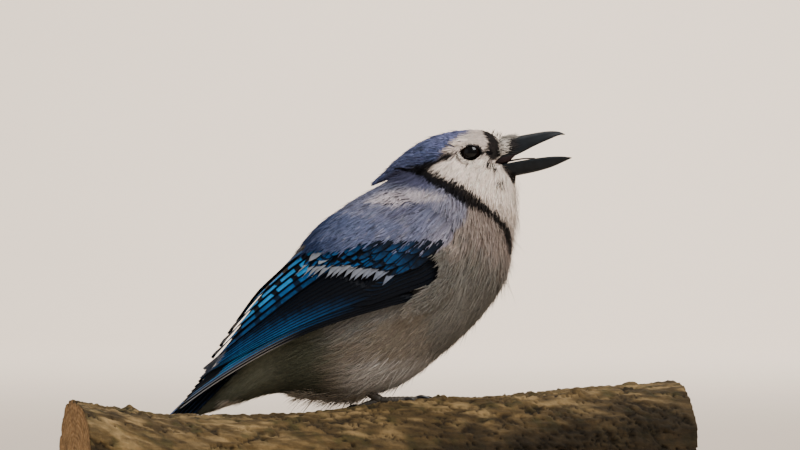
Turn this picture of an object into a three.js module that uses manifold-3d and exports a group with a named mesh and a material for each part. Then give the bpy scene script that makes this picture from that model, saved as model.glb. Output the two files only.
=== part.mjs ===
import * as THREE from "three";
import { mergeVertices } from "three/addons/utils/BufferGeometryUtils.js";
import Module from "manifold-3d";

// A life-size blue jay with its bill open, standing on a short cut branch that a plain display stand holds.
// Millimetres. +X is the way the bird faces, +Y its left and +Z up, with z 0 under the base and y 0 the bird's own middle.
// Outlines are given as [x, height], with the height counted from the top of the branch under the feet.

const wasm = await Module();
wasm.setup();

const degrees = THREE.MathUtils.degToRad;
const { lerp, clamp, smoothstep } = THREE.MathUtils;

// Driving dimensions
const GAP = 0.3; // kept between two nodes that touch
const BASE = { length: 150, width: 96, thickness: 12, corner: 16, edge: 1.2, centreY: -8 };
const ROD = { radius: 3.2, clear: 14, spots: [-44, 46] };
const BRANCH = {
  radius: 24,
  from: -134,
  to: 132,
  yaw: degrees(20),
  offsetY: -12,
  sides: 22,
  rings: 18,
  relief: 0.9,
};
const PERCH_TOP = BASE.thickness + ROD.clear + 2 * BRANCH.radius;

// The branch's upper line, which sags a little behind the bird and climbs at both ends
const BRANCH_LINE = [
  [-126, 3.0],
  [-92, -3.6],
  [-42, -3.8],
  [0, -0.6],
  [52, 3.2],
  [128, 8.0],
];

// The coat's outline from the undertail to the forehead: the back, the belly and half the width of each section
const BODY_SECTIONS = [
  { back: [-74.3, 2.2], belly: [-68.5, -3.2], half: 4.5 },
  { back: [-64.3, 14.4], belly: [-57.5, 0.2], half: 9.5 },
  { back: [-54.6, 29.5], belly: [-45.8, 3.2], half: 15.5 },
  { back: [-43.8, 46.0], belly: [-31.5, 1.6], half: 21 },
  { back: [-34.9, 60.6], belly: [-13.9, 0.6], half: 25.5 },
  { back: [-27.0, 72.5], belly: [6.3, 6.7], half: 28.5 },
  { back: [-16.8, 81.5], belly: [23.1, 18.9], half: 30 },
  { back: [-5.9, 87.8], belly: [39.1, 34.0], half: 29.5 },
  { back: [1.3, 92.0], belly: [50.0, 49.6], half: 27.5 },
  { back: [5.5, 95.2], belly: [52.9, 63.0], half: 24 },
  { back: [9.6, 99.6], belly: [54.2, 74.8], half: 20 },
  { back: [18.1, 106.6], belly: [54.6, 84.8], half: 16.5 },
  { back: [29.4, 112.4], belly: [53.3, 91.2], half: 14.4 },
  { back: [39.9, 113.2], belly: [50.8, 94.6], half: 11.6 },
  { back: [46.2, 110.6], belly: [49.4, 97.0], half: 8 },
  { back: [48.8, 107.4], belly: [50.2, 100.2], half: 4 },
];
const BODY_RINGS = 36;
const BODY_SIDES = 24;
const HEAD_CUT = 9.75; // the section where the head meets the neck
const NECK_CUT = 8.3; // the section where the neck meets the torso

// The shell that the folded wings lie on, from the wing tips over the tail to the shoulder
const WING_SECTIONS = [
  { back: [-87.8, -0.4], belly: [-80.2, -8.4], half: 13 },
  { back: [-74.8, 11.8], belly: [-63.4, -3.4], half: 16 },
  { back: [-61.9, 30.0], belly: [-48.3, 1.3], half: 21 },
  { back: [-52.0, 43.6], belly: [-34.9, 1.7], half: 26 },
  { back: [-41.4, 54.8], belly: [-19.7, -0.4], half: 29.6 },
  { back: [-31.4, 68.9], belly: [2.1, 3.8], half: 31.8 },
  { back: [-18.5, 80.2], belly: [23.1, 18.9], half: 32.4 },
  { back: [-5.9, 87.4], belly: [40.7, 35.7], half: 31.2 },
  { back: [2.9, 92.6], belly: [51.7, 55.4], half: 28.6 },
];

const EYE = { x: 35.8, height: 103.6, y: 8.7, radius: 5.1, openLong: 4.3, openTall: 3.3, lid: 0.9 };

// The bill: the ridge, the cutting edge and half the width of each section, from the root to the tip
const UPPER_BILL = [
  { ridge: [43.0, 108.6], edge: [43.5, 98.9], half: 5.8 },
  { ridge: [50.0, 109.8], edge: [51.0, 101.2], half: 5.3 },
  { ridge: [56.0, 110.9], edge: [57.0, 103.7], half: 4.6 },
  { ridge: [62.0, 112.0], edge: [62.8, 106.7], half: 3.7 },
  { ridge: [68.0, 112.9], edge: [68.6, 109.3], half: 2.6 },
  { ridge: [72.7, 112.8], edge: [73.0, 111.1], half: 1.3 },
  { ridge: [75.6, 111.7], edge: [75.6, 111.4], half: 0.3 },
];
const LOWER_BILL = [
  { ridge: [44.0, 92.4], edge: [43.5, 98.0], half: 5.5 },
  { ridge: [51.5, 93.5], edge: [51.0, 99.4], half: 5.1 },
  { ridge: [57.5, 94.6], edge: [57.0, 100.5], half: 4.5 },
  { ridge: [64.0, 96.0], edge: [63.3, 101.5], half: 3.7 },
  { ridge: [70.0, 97.8], edge: [69.5, 102.2], half: 2.8 },
  { ridge: [74.8, 99.9], edge: [74.5, 102.3], half: 1.6 },
  { ridge: [78.4, 101.6], edge: [78.4, 101.9], half: 0.3 },
];
const TONGUE = { root: [44.5, 99.3], tip: [61.0, 102.6], half: 2.3, thickness: 1.1 };
const MOUTH = { corner: [44.6, 99.4], upperAngle: degrees(19), lowerAngle: degrees(4), reach: 12 };

// The crest: rows of feathers from the crown to the nape, laid flat, as sections of the body and angles
const CREST = {
  thickness: 1.3,
  rows: [
    { count: 3, from: 12.2, to: 7.5, spread: 0.34, meet: 0.1, half: 3.2, rise: 3.6 },
    { count: 4, from: 12.6, to: 8.5, spread: 0.75, meet: 0.42, half: 3.2, rise: 2.6 },
    { count: 4, from: 13.2, to: 9.9, spread: 1.05, meet: 0.85, half: 3.4, rise: 1.9 },
  ],
};
const BRISTLES = {
  count: 3,
  step: 1.9,
  path: [[45.0, 108.0, 3.4], [49.5, 109.2, 4.8], [53.5, 109.6, 5.0], [57.0, 109.8, 4.7]],
  radii: [1.1, 0.9, 0.6, 0.2],
};

const TAIL = {
  root: [-49.5, 33.6],
  angle: degrees(44.2),
  length: 123,
  shorter: 14, // by which the outermost feather falls short of the middle ones
  pairs: 6,
  step: 0.85,
  half: 4.6,
  thickness: 1.1,
};

// The wing's core plate and its tiers of vanes, from the wrist to the tips. Roots and tips are those of the
// first and last vane of a tier: points seen from the side, or a section of the wing shell and an angle.
const WING_CORE = {
  upper: [[-66, 24], [-56, 39], [-38, 55.5], [-14, 60.5], [19, 66.5]],
  lower: [[-70, 7], [-56, 15], [-38, 24.5], [-8, 37.5], [22, 53]],
  thickness: 2.2,
};
const LEGS = [
  { name: "right", side: -1, foot: [-2.0, -6.0] },
  { name: "left", side: 1, foot: [4.6, 6.0] },
];
const ANKLE = { back: 28, up: 16.5, out: 10 }; // from the foot's middle
const TARSUS = { radius: 1.5 };
const THIGH = { knee: [-30, 20], kneeOut: 13, behindFoot: 8, lowEnd: 2, radii: [9, 6.5, 3.2] };
const TOES = [
  { turn: 0, length: 15.5, radius: 1.35, claw: 6.5 },
  { turn: degrees(24), length: 11.5, radius: 1.25, claw: 5.8 },
  { turn: degrees(-24), length: 13, radius: 1.25, claw: 5.8 },
  { turn: degrees(180), length: 9.5, radius: 1.45, claw: 8 },
];

const COLOURS = {
  plumage: new THREE.MeshStandardMaterial({ color: 0x6f7892, roughness: 0.8 }),
  pale: new THREE.MeshStandardMaterial({ color: 0xb9b3ab, roughness: 0.85 }),
  crown: new THREE.MeshStandardMaterial({ color: 0x5c6aa0, roughness: 0.75 }),
  wing: new THREE.MeshStandardMaterial({ color: 0x1c5c9a, roughness: 0.55 }),
  bill: new THREE.MeshStandardMaterial({ color: 0x22262c, roughness: 0.35 }),
  tongue: new THREE.MeshStandardMaterial({ color: 0x4a3634, roughness: 0.5 }),
  eye: new THREE.MeshStandardMaterial({ color: 0x140c08, roughness: 0.05 }),
  leg: new THREE.MeshStandardMaterial({ color: 0x34312f, roughness: 0.6 }),
  bark: new THREE.MeshStandardMaterial({ color: 0x6b5a3c, roughness: 0.95 }),
  base: new THREE.MeshStandardMaterial({ color: 0x3a2a20, roughness: 0.45 }),
  rod: new THREE.MeshStandardMaterial({ color: 0x9a9a98, roughness: 0.3, metalness: 1 }),
};

// Points and closed surfaces

function place([x, height], y = 0) {
  return new THREE.Vector3(x, y, PERCH_TOP + height);
}

// A geometry whose faces point out, whichever way its rows were wound
function facingOut(points, triangles) {
  let volume = 0;
  for (let i = 0; i < triangles.length; i += 3) {
    const [a, b, c] = [points[triangles[i]], points[triangles[i + 1]], points[triangles[i + 2]]];
    volume += a.dot(new THREE.Vector3().crossVectors(b, c));
  }
  const index = volume < 0 ? triangles.toReversed() : triangles;
  return new THREE.BufferGeometry().setFromPoints(points).setIndex(index);
}

// A closed body through rings of points, with a fan over each end
function loft(rings) {
  const sides = rings[0].length;
  const points = rings.flat();
  const triangles = [];
  for (let i = 0; i + 1 < rings.length; i++) {
    for (let j = 0; j < sides; j++) {
      const [a, b] = [i * sides + j, i * sides + ((j + 1) % sides)];
      triangles.push(a, b, b + sides, a, b + sides, a + sides);
    }
  }
  for (const [start, turn] of [[0, -1], [(rings.length - 1) * sides, 1]]) {
    const ring = points.slice(start, start + sides);
    const middle = ring.reduce((sum, p) => sum.add(p), new THREE.Vector3()).divideScalar(sides);
    points.push(middle);
    for (let j = 0; j < sides; j++) {
      const pair = [start + j, start + ((j + 1) % sides)];
      triangles.push(...(turn > 0 ? pair : pair.reverse()), points.length - 1);
    }
  }
  return facingOut(points, triangles);
}

// A closed sheet between two grids of points, split into triangles alike on both faces
function sheet(outer, inner) {
  const [rows, columns] = [outer.length, outer[0].length];
  const points = [...outer.flat(), ...inner.flat()];
  const under = rows * columns;
  const at = (i, j) => i * columns + j;
  const triangles = [];
  const wall = (a, b) => triangles.push(a, a + under, b + under, a, b + under, b);
  for (let i = 0; i + 1 < rows; i++) {
    for (let j = 0; j + 1 < columns; j++) {
      const [a, b, c, d] = [at(i, j), at(i + 1, j), at(i + 1, j + 1), at(i, j + 1)];
      triangles.push(a, b, c, a, c, d, a + under, c + under, b + under, a + under, d + under, c + under);
    }
    wall(at(i, 0), at(i + 1, 0));
    wall(at(i + 1, columns - 1), at(i, columns - 1));
  }
  for (let j = 0; j + 1 < columns; j++) {
    wall(at(0, j + 1), at(0, j));
    wall(at(rows - 1, j), at(rows - 1, j + 1));
  }
  return facingOut(points, triangles);
}

// A round or oval tube along points, with a radius for each
function tube(points, radii, sides = 6) {
  const curve = new THREE.CatmullRomCurve3(points);
  const across = new THREE.Vector3();
  const rings = points.map((p, i) => {
    const along = curve.getTangent(i / (points.length - 1));
    across.crossVectors(Math.abs(along.z) > 0.95 ? new THREE.Vector3(1, 0, 0) : new THREE.Vector3(0, 0, 1), along);
    across.normalize();
    const up = new THREE.Vector3().crossVectors(along, across);
    return Array.from({ length: sides }, (_, j) => {
      const angle = (2 * Math.PI * (j + 0.5)) / sides;
      return p
        .clone()
        .addScaledVector(across, radii[i] * Math.cos(angle))
        .addScaledVector(up, radii[i] * Math.sin(angle));
    });
  });
  return loft(rings);
}

// Solids

function solid(geometry) {
  const bare = geometry.clone();
  bare.deleteAttribute("normal");
  bare.deleteAttribute("uv");
  const merged = mergeVertices(bare, 1e-4);
  return new wasm.Manifold(
    new wasm.Mesh({
      numProp: 3,
      vertProperties: merged.attributes.position.array,
      triVerts: new Uint32Array(merged.index.array),
    }),
  );
}

function join(pieces) {
  return pieces.reduce((whole, piece) => whole.add(piece));
}

function largest(body) {
  return body.decompose().reduce((a, b) => (a.volume() >= b.volume() ? a : b));
}

function node(name, body, material) {
  const kept = largest(body).getMesh();
  const positions = new Float32Array(kept.numVert * 3);
  for (let i = 0; i < kept.numVert; i++) {
    positions.set(kept.vertProperties.subarray(i * kept.numProp, i * kept.numProp + 3), i * 3);
  }
  const geometry = new THREE.BufferGeometry()
    .setAttribute("position", new THREE.BufferAttribute(positions, 3))
    .setIndex(new THREE.BufferAttribute(kept.triVerts, 1));
  geometry.computeVertexNormals();
  const mesh = new THREE.Mesh(geometry, material);
  mesh.name = name;
  return mesh;
}

// A surface through oval sections, each set by a point on the back and one on the belly.
// A place on it is a section's number, whole or between two, and the angle from the back down the left side.
class Shell {
  constructor(sections, fullness) {
    this.last = sections.length - 1;
    this.fullness = fullness;
    this.backs = new THREE.CatmullRomCurve3(
      sections.map((s) => new THREE.Vector3(...s.back, s.half)), false, "catmullrom");
    this.bellies = new THREE.CatmullRomCurve3(
      sections.map((s) => new THREE.Vector3(...s.belly, 0)), false, "catmullrom");
  }

  section(t) {
    const share = clamp(t / this.last, 0, 1);
    const [back, belly] = [this.backs.getPoint(share), this.bellies.getPoint(share)];
    return { back: new THREE.Vector2(back.x, back.y), belly: new THREE.Vector2(belly.x, belly.y), half: back.z };
  }

  surface(t, angle) {
    const { back, belly, half } = this.section(t);
    const power = (v) => Math.sign(v) * Math.abs(v) ** (2 / this.fullness);
    const spot = belly.lerp(back, (1 + power(Math.cos(angle))) / 2);
    return place([spot.x, spot.y], half * power(Math.sin(angle)));
  }

  normal(t, angle) {
    const step = 0.02;
    const along = this.surface(t + step, angle).sub(this.surface(t - step, angle));
    const round = this.surface(t, angle + step).sub(this.surface(t, angle - step));
    return along.cross(round).normalize();
  }

  point(t, angle, lift = 0) {
    const spot = this.surface(t, angle);
    return lift === 0 ? spot : spot.addScaledVector(this.normal(t, angle), lift);
  }

  // The place seen at an outline point from the side
  locate([x, height]) {
    const spot = new THREE.Vector2(x, height);
    const beside = (t) => {
      const { back, belly } = this.section(t);
      return belly.sub(back).cross(spot.clone().sub(back));
    };
    let [low, high] = [0, this.last];
    const rises = beside(high) > 0;
    for (let i = 0; i < 40; i++) {
      const t = (low + high) / 2;
      if (beside(t) > 0 === rises) high = t;
      else low = t;
    }
    const { back, belly } = this.section(low);
    const line = belly.clone().sub(back);
    const share = clamp(spot.sub(back).dot(line) / line.lengthSq(), 0, 1);
    const level = 1 - 2 * share;
    return { t: low, angle: Math.acos(Math.sign(level) * Math.abs(level) ** (this.fullness / 2)) };
  }

  body(rings, sides, lift = 0) {
    return solid(
      loft(
        Array.from({ length: rings }, (_, i) =>
          Array.from({ length: sides }, (_, j) =>
            this.point((this.last * i) / (rings - 1), (2 * Math.PI * (j + 0.5)) / sides, lift),
          ),
        ),
      ),
    );
  }
}

const bodyShell = new Shell(BODY_SECTIONS, 2.15);
const wingShell = new Shell(WING_SECTIONS, 2.15);

// A thin box in the plane of one of the body's sections
function sectionCut(t) {
  const { back, belly } = bodyShell.section(t);
  const line = belly.clone().sub(back);
  const middle = back.clone().lerp(belly, 0.5);
  const box = new THREE.BoxGeometry(GAP, 100, line.length() + 24);
  box.rotateY(Math.atan2(line.x, line.y));
  const centre = place([middle.x, middle.y]);
  box.translate(centre.x, centre.y, centre.z);
  return solid(box);
}

function inFront(pieces) {
  const ahead = (piece) => {
    const { min, max } = piece.boundingBox();
    return min[0] + max[0];
  };
  return [...pieces].sort((a, b) => ahead(b) - ahead(a));
}

// Splits a body at the two sections into head, neck and torso
function divide(body) {
  const [head, rest] = inFront(body.subtract(sectionCut(HEAD_CUT)).decompose());
  const parts = rest.subtract(sectionCut(NECK_CUT)).decompose();
  parts.sort((a, b) => a.volume() - b.volume());
  return { head, neck: parts[0], torso: parts[1] };
}

// The branch

const branchLine = new THREE.CatmullRomCurve3(
  BRANCH_LINE.map(([x, height]) => new THREE.Vector3(x, 0, height)), false, "catmullrom");

function branchTop(x) {
  const [first, last] = [BRANCH_LINE[0][0], BRANCH_LINE.at(-1)[0]];
  let [low, high] = [0, 1];
  for (let i = 0; i < 30; i++) {
    const middle = (low + high) / 2;
    if (branchLine.getPoint(middle).x < clamp(x, first, last)) low = middle;
    else high = middle;
  }
  return branchLine.getPoint(low).z;
}

const branchAlong = new THREE.Vector3(Math.cos(BRANCH.yaw), Math.sin(BRANCH.yaw), 0);
const branchSide = new THREE.Vector3(-Math.sin(BRANCH.yaw), Math.cos(BRANCH.yaw), 0);

// Ridges and hollows of the bark, which fade out under the feet
function bark(along, angle) {
  const waves =
    0.5 * Math.sin(3 * angle + along / 19) +
    0.3 * Math.sin(5 * angle - along / 13 + 1.7) +
    0.4 * Math.sin(along / 11 + 2 * Math.sin(angle));
  return BRANCH.relief * waves * smoothstep(Math.abs(along - 4), 26, 44);
}

function branchPoint(along, angle, lift = 0) {
  const radius = BRANCH.radius + bark(along, angle) + lift;
  const x = along * branchAlong.x;
  const axis = place([x, branchTop(x) - BRANCH.radius], BRANCH.offsetY + along * branchAlong.y);
  return axis
    .addScaledVector(branchSide, radius * Math.sin(angle))
    .add(new THREE.Vector3(0, 0, radius * Math.cos(angle)));
}

function branchBody(lift = 0) {
  const rings = Array.from({ length: BRANCH.rings }, (_, i) => {
    const along = lerp(BRANCH.from - lift, BRANCH.to + lift, i / (BRANCH.rings - 1));
    return Array.from({ length: BRANCH.sides }, (_, j) =>
      branchPoint(along, (2 * Math.PI * j) / BRANCH.sides, lift),
    );
  });
  return solid(loft(rings));
}

// The stand

function baseBody() {
  const { length, width, thickness, corner, edge, centreY } = BASE;
  const outline = new THREE.Shape();
  const [x, y] = [length / 2 - edge - corner, width / 2 - edge - corner];
  outline.absarc(x, y, corner, 0, Math.PI / 2);
  outline.absarc(-x, y, corner, Math.PI / 2, Math.PI);
  outline.absarc(-x, -y, corner, Math.PI, 1.5 * Math.PI);
  outline.absarc(x, -y, corner, 1.5 * Math.PI, 2 * Math.PI);
  const plate = new THREE.ExtrudeGeometry(outline, {
    depth: thickness - 2 * edge,
    curveSegments: 5,
    bevelThickness: edge,
    bevelSize: edge,
    bevelSegments: 1,
  });
  plate.translate(0, centreY, edge);
  return solid(plate);
}

function rodBody(along, branchGrown) {
  const foot = BASE.thickness + GAP;
  const top = PERCH_TOP - BRANCH.radius;
  const rod = new THREE.CylinderGeometry(ROD.radius, ROD.radius, top - foot, 20);
  rod.rotateX(Math.PI / 2);
  const spot = branchAlong.clone().multiplyScalar(along);
  rod.translate(spot.x, spot.y + BRANCH.offsetY, (top + foot) / 2);
  return solid(rod).subtract(branchGrown);
}

// The head

function billBody(sections, sides, hollow, grow = 0) {
  const rings = sections.map(({ ridge, edge, half }) => {
    const [top, low] = [new THREE.Vector2(...ridge), new THREE.Vector2(...edge)];
    const depth = top.clone().sub(low);
    top.addScaledVector(depth.clone().normalize(), grow);
    low.addScaledVector(depth.clone().normalize(), -grow);
    const arch = Array.from({ length: sides }, (_, j) => {
      const angle = Math.PI * (j / (sides - 1) - 0.5);
      const spot = low.clone().lerp(top, Math.cos(angle) ** 0.9);
      return place([spot.x, spot.y], (half + grow) * Math.sin(angle));
    });
    const palate = low.clone().lerp(top, grow > 0 ? 0 : hollow);
    return [...arch, place([palate.x, palate.y], 0)];
  });
  return solid(loft(rings));
}

function ball(radius, centre, scale = [1, 1, 1], detail = 14) {
  const geometry = new THREE.SphereGeometry(radius, detail, detail / 2);
  geometry.scale(...scale);
  geometry.translate(centre.x, centre.y, centre.z);
  return solid(geometry);
}

function eyeCentre(side) {
  return place([EYE.x, EYE.height], side * EYE.y);
}

function lidBody(side) {
  const rim = new THREE.TorusGeometry(1, 0.24, 6, 18);
  rim.rotateX(Math.PI / 2);
  rim.scale(EYE.openLong, EYE.openTall, EYE.openTall);
  const spot = eyeCentre(side).add(new THREE.Vector3(0, side * 3.6, 0));
  rim.translate(spot.x, spot.y, spot.z);
  return solid(rim);
}

// The opening of the lids, in front of the eyeball
function lidOpening(side) {
  const { openLong, openTall } = EYE;
  const spot = eyeCentre(side).add(new THREE.Vector3(0, side * 5.2, 0));
  return ball(1, spot, [openLong, 3.2, openTall]);
}

function mouthWedge() {
  const { corner, upperAngle, lowerAngle, reach } = MOUTH;
  const [x, height] = corner;
  const outline = new THREE.Shape([
    new THREE.Vector2(x, height),
    new THREE.Vector2(x + reach, height + reach * Math.tan(lowerAngle)),
    new THREE.Vector2(x + reach, height + reach * Math.tan(upperAngle)),
  ]);
  const wedge = new THREE.ExtrudeGeometry(outline, { depth: 40, bevelEnabled: false });
  wedge.translate(0, 0, -20);
  wedge.rotateX(Math.PI / 2);
  wedge.translate(0, 0, PERCH_TOP);
  return solid(wedge);
}

// One crest feather, from its root in the crown back over the nape
function crestFeather({ from, to, spread, meet, half, rise }) {
  const way = (share) => ({ t: lerp(from, to, share), angle: lerp(spread, meet, share ** 1.3) });
  const places = SHORT_VANE.map(([share]) => way(share));
  const grid = (depth) =>
    SHORT_VANE.map(([share, breadth], i) => {
      const { t, angle } = places[i];
      const lift = -0.5 + rise * smoothstep(share, 0, 1) ** 0.8;
      const across = (half * breadth) / Math.max(6, bodyShell.section(t).half * 0.9);
      return [-1, 0, 1].map((edge) =>
        bodyShell.point(t, angle + edge * across, lift - depth * (1 - 0.4 * share) + (edge === 0 ? 0.4 : 0)),
      );
    });
  return sheet(grid(0), grid(CREST.thickness));
}

function crestFeathers() {
  return CREST.rows.flatMap(({ count, spread, ...row }) =>
    Array.from({ length: count }, (_, k) => {
      const place = count > 1 ? (2 * k) / (count - 1) - 1 : 0;
      return crestFeather({ ...row, spread: spread * place, meet: row.meet * place, to: row.to + 0.5 * place ** 2 });
    }),
  );
}

// A lock of the stiff bristles that lie forward over a nostril
function bristle(side, k) {
  const path = BRISTLES.path.map(([x, height, y]) => place([x, height - k * BRISTLES.step], side * (y + 0.35 * k)));
  return tube(path, BRISTLES.radii, 5);
}

function tongueBody() {
  const { root, tip, half, thickness } = TONGUE;
  const rows = 6;
  const grid = (rise) =>
    Array.from({ length: rows }, (_, i) => {
      const share = i / (rows - 1);
      const width = half * Math.sqrt(1.02 - share ** 2);
      const spot = [lerp(root[0], tip[0], share), lerp(root[1], tip[1], share) + rise * (1 - 0.6 * share)];
      return [-1, 0, 1].map((k) => place([spot[0], spot[1] - 0.3 * (1 - k * k)], k * width));
    });
  return solid(sheet(grid(thickness / 2), grid(-thickness / 2)));
}

// Vanes

// Shares of a vane's length, each with its share of the full width
const LONG_VANE = [
  [0, 0.6],
  [0.4, 1],
  [0.84, 0.9],
  [0.96, 0.5],
  [1, 0.12],
];
const SHORT_VANE = [
  [0, 0.6],
  [0.62, 1],
  [0.92, 0.6],
  [1, 0.15],
];

// One vane on the left side of a shell, along a way from its root to its tip. Its upper edge sinks under the
// vane above it and its lower edge stands up over the one below.
function shellVane(shell, way, { rows: shape, half, lift, thickness, standing }) {
  const places = shape.map(([share]) => way(share));
  const spots = places.map(({ t, angle }) => shell.surface(t, angle));
  const rows = shape.map(([share, breadth], i) => {
    const normal = shell.normal(places[i].t, places[i].angle);
    const along = spots[Math.min(i + 1, spots.length - 1)].clone().sub(spots[Math.max(i - 1, 0)]);
    const down = along.clone().cross(normal).normalize();
    const risen = lift * smoothstep(share, 0, 0.35);
    const width = half * breadth;
    return [-1, 1].map((edge) => {
      const height = risen + (edge > 0 ? standing : 0) - width ** 2 / 60;
      return { spot: spots[i].clone().addScaledVector(down, edge * width), normal, height };
    });
  });
  const grid = (depth) =>
    rows.map((row) =>
      row.map(({ spot, normal, height }) => {
        const p = spot.clone().addScaledVector(normal, height - depth);
        p.y = Math.max(p.y, GAP);
        return p;
      }),
    );
  return sheet(grid(0), grid(thickness));
}

// The way of a vane between two points seen from the side, or between two places on the shell
const seen = (from, to) => (share) =>
  wingShell.locate([lerp(from[0], to[0], share), lerp(from[1], to[1], share)]);
const laid = (from, to) => (share) => ({
  t: lerp(from[0], to[0], share),
  angle: lerp(from[1], to[1], share),
});

const WING_TIERS = [
  { count: 6, rows: LONG_VANE, way: seen, roots: [[12, 51], [-2, 50]], tips: [[-84, 0], [-77, 10]], half: 3.4,
    lift: -0.1, thickness: 1.1, standing: 0.7 },
  { count: 6, rows: LONG_VANE, way: seen, roots: [[4, 49], [-24, 56]], tips: [[-75, 12], [-62, 30]], half: 4.2,
    lift: 0.5, thickness: 1.1, standing: 0.8 },
  { count: 3, rows: LONG_VANE, way: laid, roots: [[4.7, 0.8], [4.7, 0.45]], tips: [[1.9, 0.75], [3.0, 0.36]],
    half: 6.4, lift: 0.9, thickness: 1.4, standing: 0.8 },
  { count: 2, rows: SHORT_VANE, way: seen, roots: [[20, 56], [20, 60]], tips: [[-9, 41], [-4, 46]], half: 3.4,
    lift: 0.9, thickness: 1.4, standing: 0.7 },
  { count: 7, rows: SHORT_VANE, way: seen, roots: [[16, 59], [-20, 59]], tips: [[2, 49], [-32, 53]], half: 3.7,
    lift: 1.2, thickness: 1.6, standing: 0.7 },
  { count: 5, rows: SHORT_VANE, way: seen, roots: [[19, 64.5], [-12, 60]], tips: [[10, 57.5], [-22, 57]], half: 3.8,
    lift: 1.8, thickness: 1.8, standing: 0.6 },
];

// The plate that the wing's vanes are rooted in
function wingCore() {
  const curve = (line) => new THREE.CatmullRomCurve3(line.map(([x, h]) => new THREE.Vector3(x, h, 0)));
  const [top, low] = [curve(WING_CORE.upper), curve(WING_CORE.lower)];
  const [rows, columns] = [9, 4];
  const grid = (lift) =>
    Array.from({ length: rows }, (_, i) =>
      Array.from({ length: columns }, (_, j) => {
        const spot = top.getPoint(i / (rows - 1)).lerp(low.getPoint(i / (rows - 1)), j / (columns - 1));
        const { t, angle } = wingShell.locate([spot.x, spot.y]);
        return wingShell.point(t, Math.max(angle, 0.06), lift);
      }),
    );
  return sheet(grid(0), grid(-WING_CORE.thickness));
}

function wingBody(side) {
  const vanes = WING_TIERS.flatMap(({ count, way, roots, tips, ...size }) =>
    Array.from({ length: count }, (_, k) => {
      const share = k / (count - 1);
      const between = ([a, b]) => a.map((v, i) => lerp(v, b[i], share));
      return shellVane(wingShell, way(between(roots), between(tips)), size);
    }),
  );
  const left = join([wingCore(), ...vanes].map(solid));
  return side > 0 ? left : left.mirror([0, 1, 0]);
}

// The tail: six pairs of vanes, the middle pair on top
function tailVane(k, side) {
  const { root, angle, length, shorter, pairs, step, half, thickness } = TAIL;
  const along = new THREE.Vector3(-Math.cos(angle), 0, -Math.sin(angle));
  const up = new THREE.Vector3(-Math.sin(angle), 0, Math.cos(angle));
  const outer = k / (pairs - 1);
  const drop = k * step + (side > 0 ? 0.35 : 0);
  const grid = (depth) =>
    LONG_VANE.map(([share, breadth]) => {
      const middle = lerp(1 + 5.2 * outer, 2.2 + 8.2 * outer, share);
      return [-1, 0, 1].map((edge) => {
        const across = edge * half * breadth * lerp(0.62, 1, share);
        const height = -drop * lerp(0.7, 1, share) - across * lerp(0.06, 0.2, outer) - depth;
        return place(root, side * (middle + across))
          .addScaledVector(along, share * (length - shorter * outer ** 1.6) - 0.8 * edge * edge)
          .addScaledVector(up, height + (edge === 0 ? 0.25 : 0));
      });
    });
  return sheet(grid(0), grid(thickness));
}

function tailBody() {
  const vanes = [-1, 1].flatMap((side) => Array.from({ length: TAIL.pairs }, (_, k) => tailVane(k, side)));
  return join(vanes.map(solid));
}

// The legs

function branchPlace(x, y) {
  const spot = new THREE.Vector3(x, y - BRANCH.offsetY, 0);
  return { along: spot.dot(branchAlong), angle: Math.asin(spot.dot(branchSide) / BRANCH.radius) };
}

function toeBody(foot, { turn, length, radius, claw }, side) {
  const heading = turn * side - BRANCH.yaw;
  const spot = (distance, lift) =>
    branchPoint(
      foot.along + distance * Math.cos(heading),
      foot.angle + (distance * Math.sin(heading)) / BRANCH.radius,
      lift + GAP,
    );
  const toe = tube(
    [
      spot(-1.5, radius + 1.6),
      spot(length * 0.3, radius + 0.7),
      spot(length * 0.65, radius + 0.25),
      spot(length, radius * 0.9),
    ],
    [radius, radius * 1.02, radius * 0.95, radius * 0.8],
  );
  const nail = tube(
    [
      spot(length - 1.5, radius),
      spot(length + claw * 0.25, radius + 0.7),
      spot(length + claw * 0.65, radius + 0.1),
      spot(length + claw, 0.35),
    ],
    [radius * 0.6, radius * 0.6, radius * 0.4, 0.12],
    5,
  );
  return join([solid(toe), solid(nail)]);
}

function legBody({ side, foot }) {
  const spot = branchPlace(...foot);
  const heel = branchPoint(spot.along, spot.angle, TARSUS.radius + 1.2);
  const ankle = heel.clone().add(new THREE.Vector3(-ANKLE.back, side * ANKLE.out - heel.y, ANKLE.up));
  const path = [0, 0.25, 0.6, 1].map((share) => heel.clone().lerp(ankle, share));
  const { radius } = TARSUS;
  const shank = tube(path, [radius * 1.25, radius, radius, radius * 1.3]);
  return join([solid(shank), ...TOES.map((toe) => toeBody(spot, toe, side))]);
}

function thighBody({ side, foot }) {
  const [x, y] = foot;
  const knee = place(THIGH.knee, side * THIGH.kneeOut);
  const low = place([x - THIGH.behindFoot, THIGH.lowEnd], y + side * 0.9);
  return solid(tube([knee, knee.clone().lerp(low, 0.5), low], THIGH.radii, 10));
}

// The whole, with each piece cut clear of the ones that it touches

const whole = divide(bodyShell.body(BODY_RINGS, BODY_SIDES));
const grown = divide(bodyShell.body(BODY_RINGS, BODY_SIDES, GAP));
const thighs = LEGS.map(thighBody);
const torso = join([whole.torso, ...thighs]);
const torsoGrown = join([grown.torso, ...LEGS.map((leg) => thighBody(leg))]);

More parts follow.
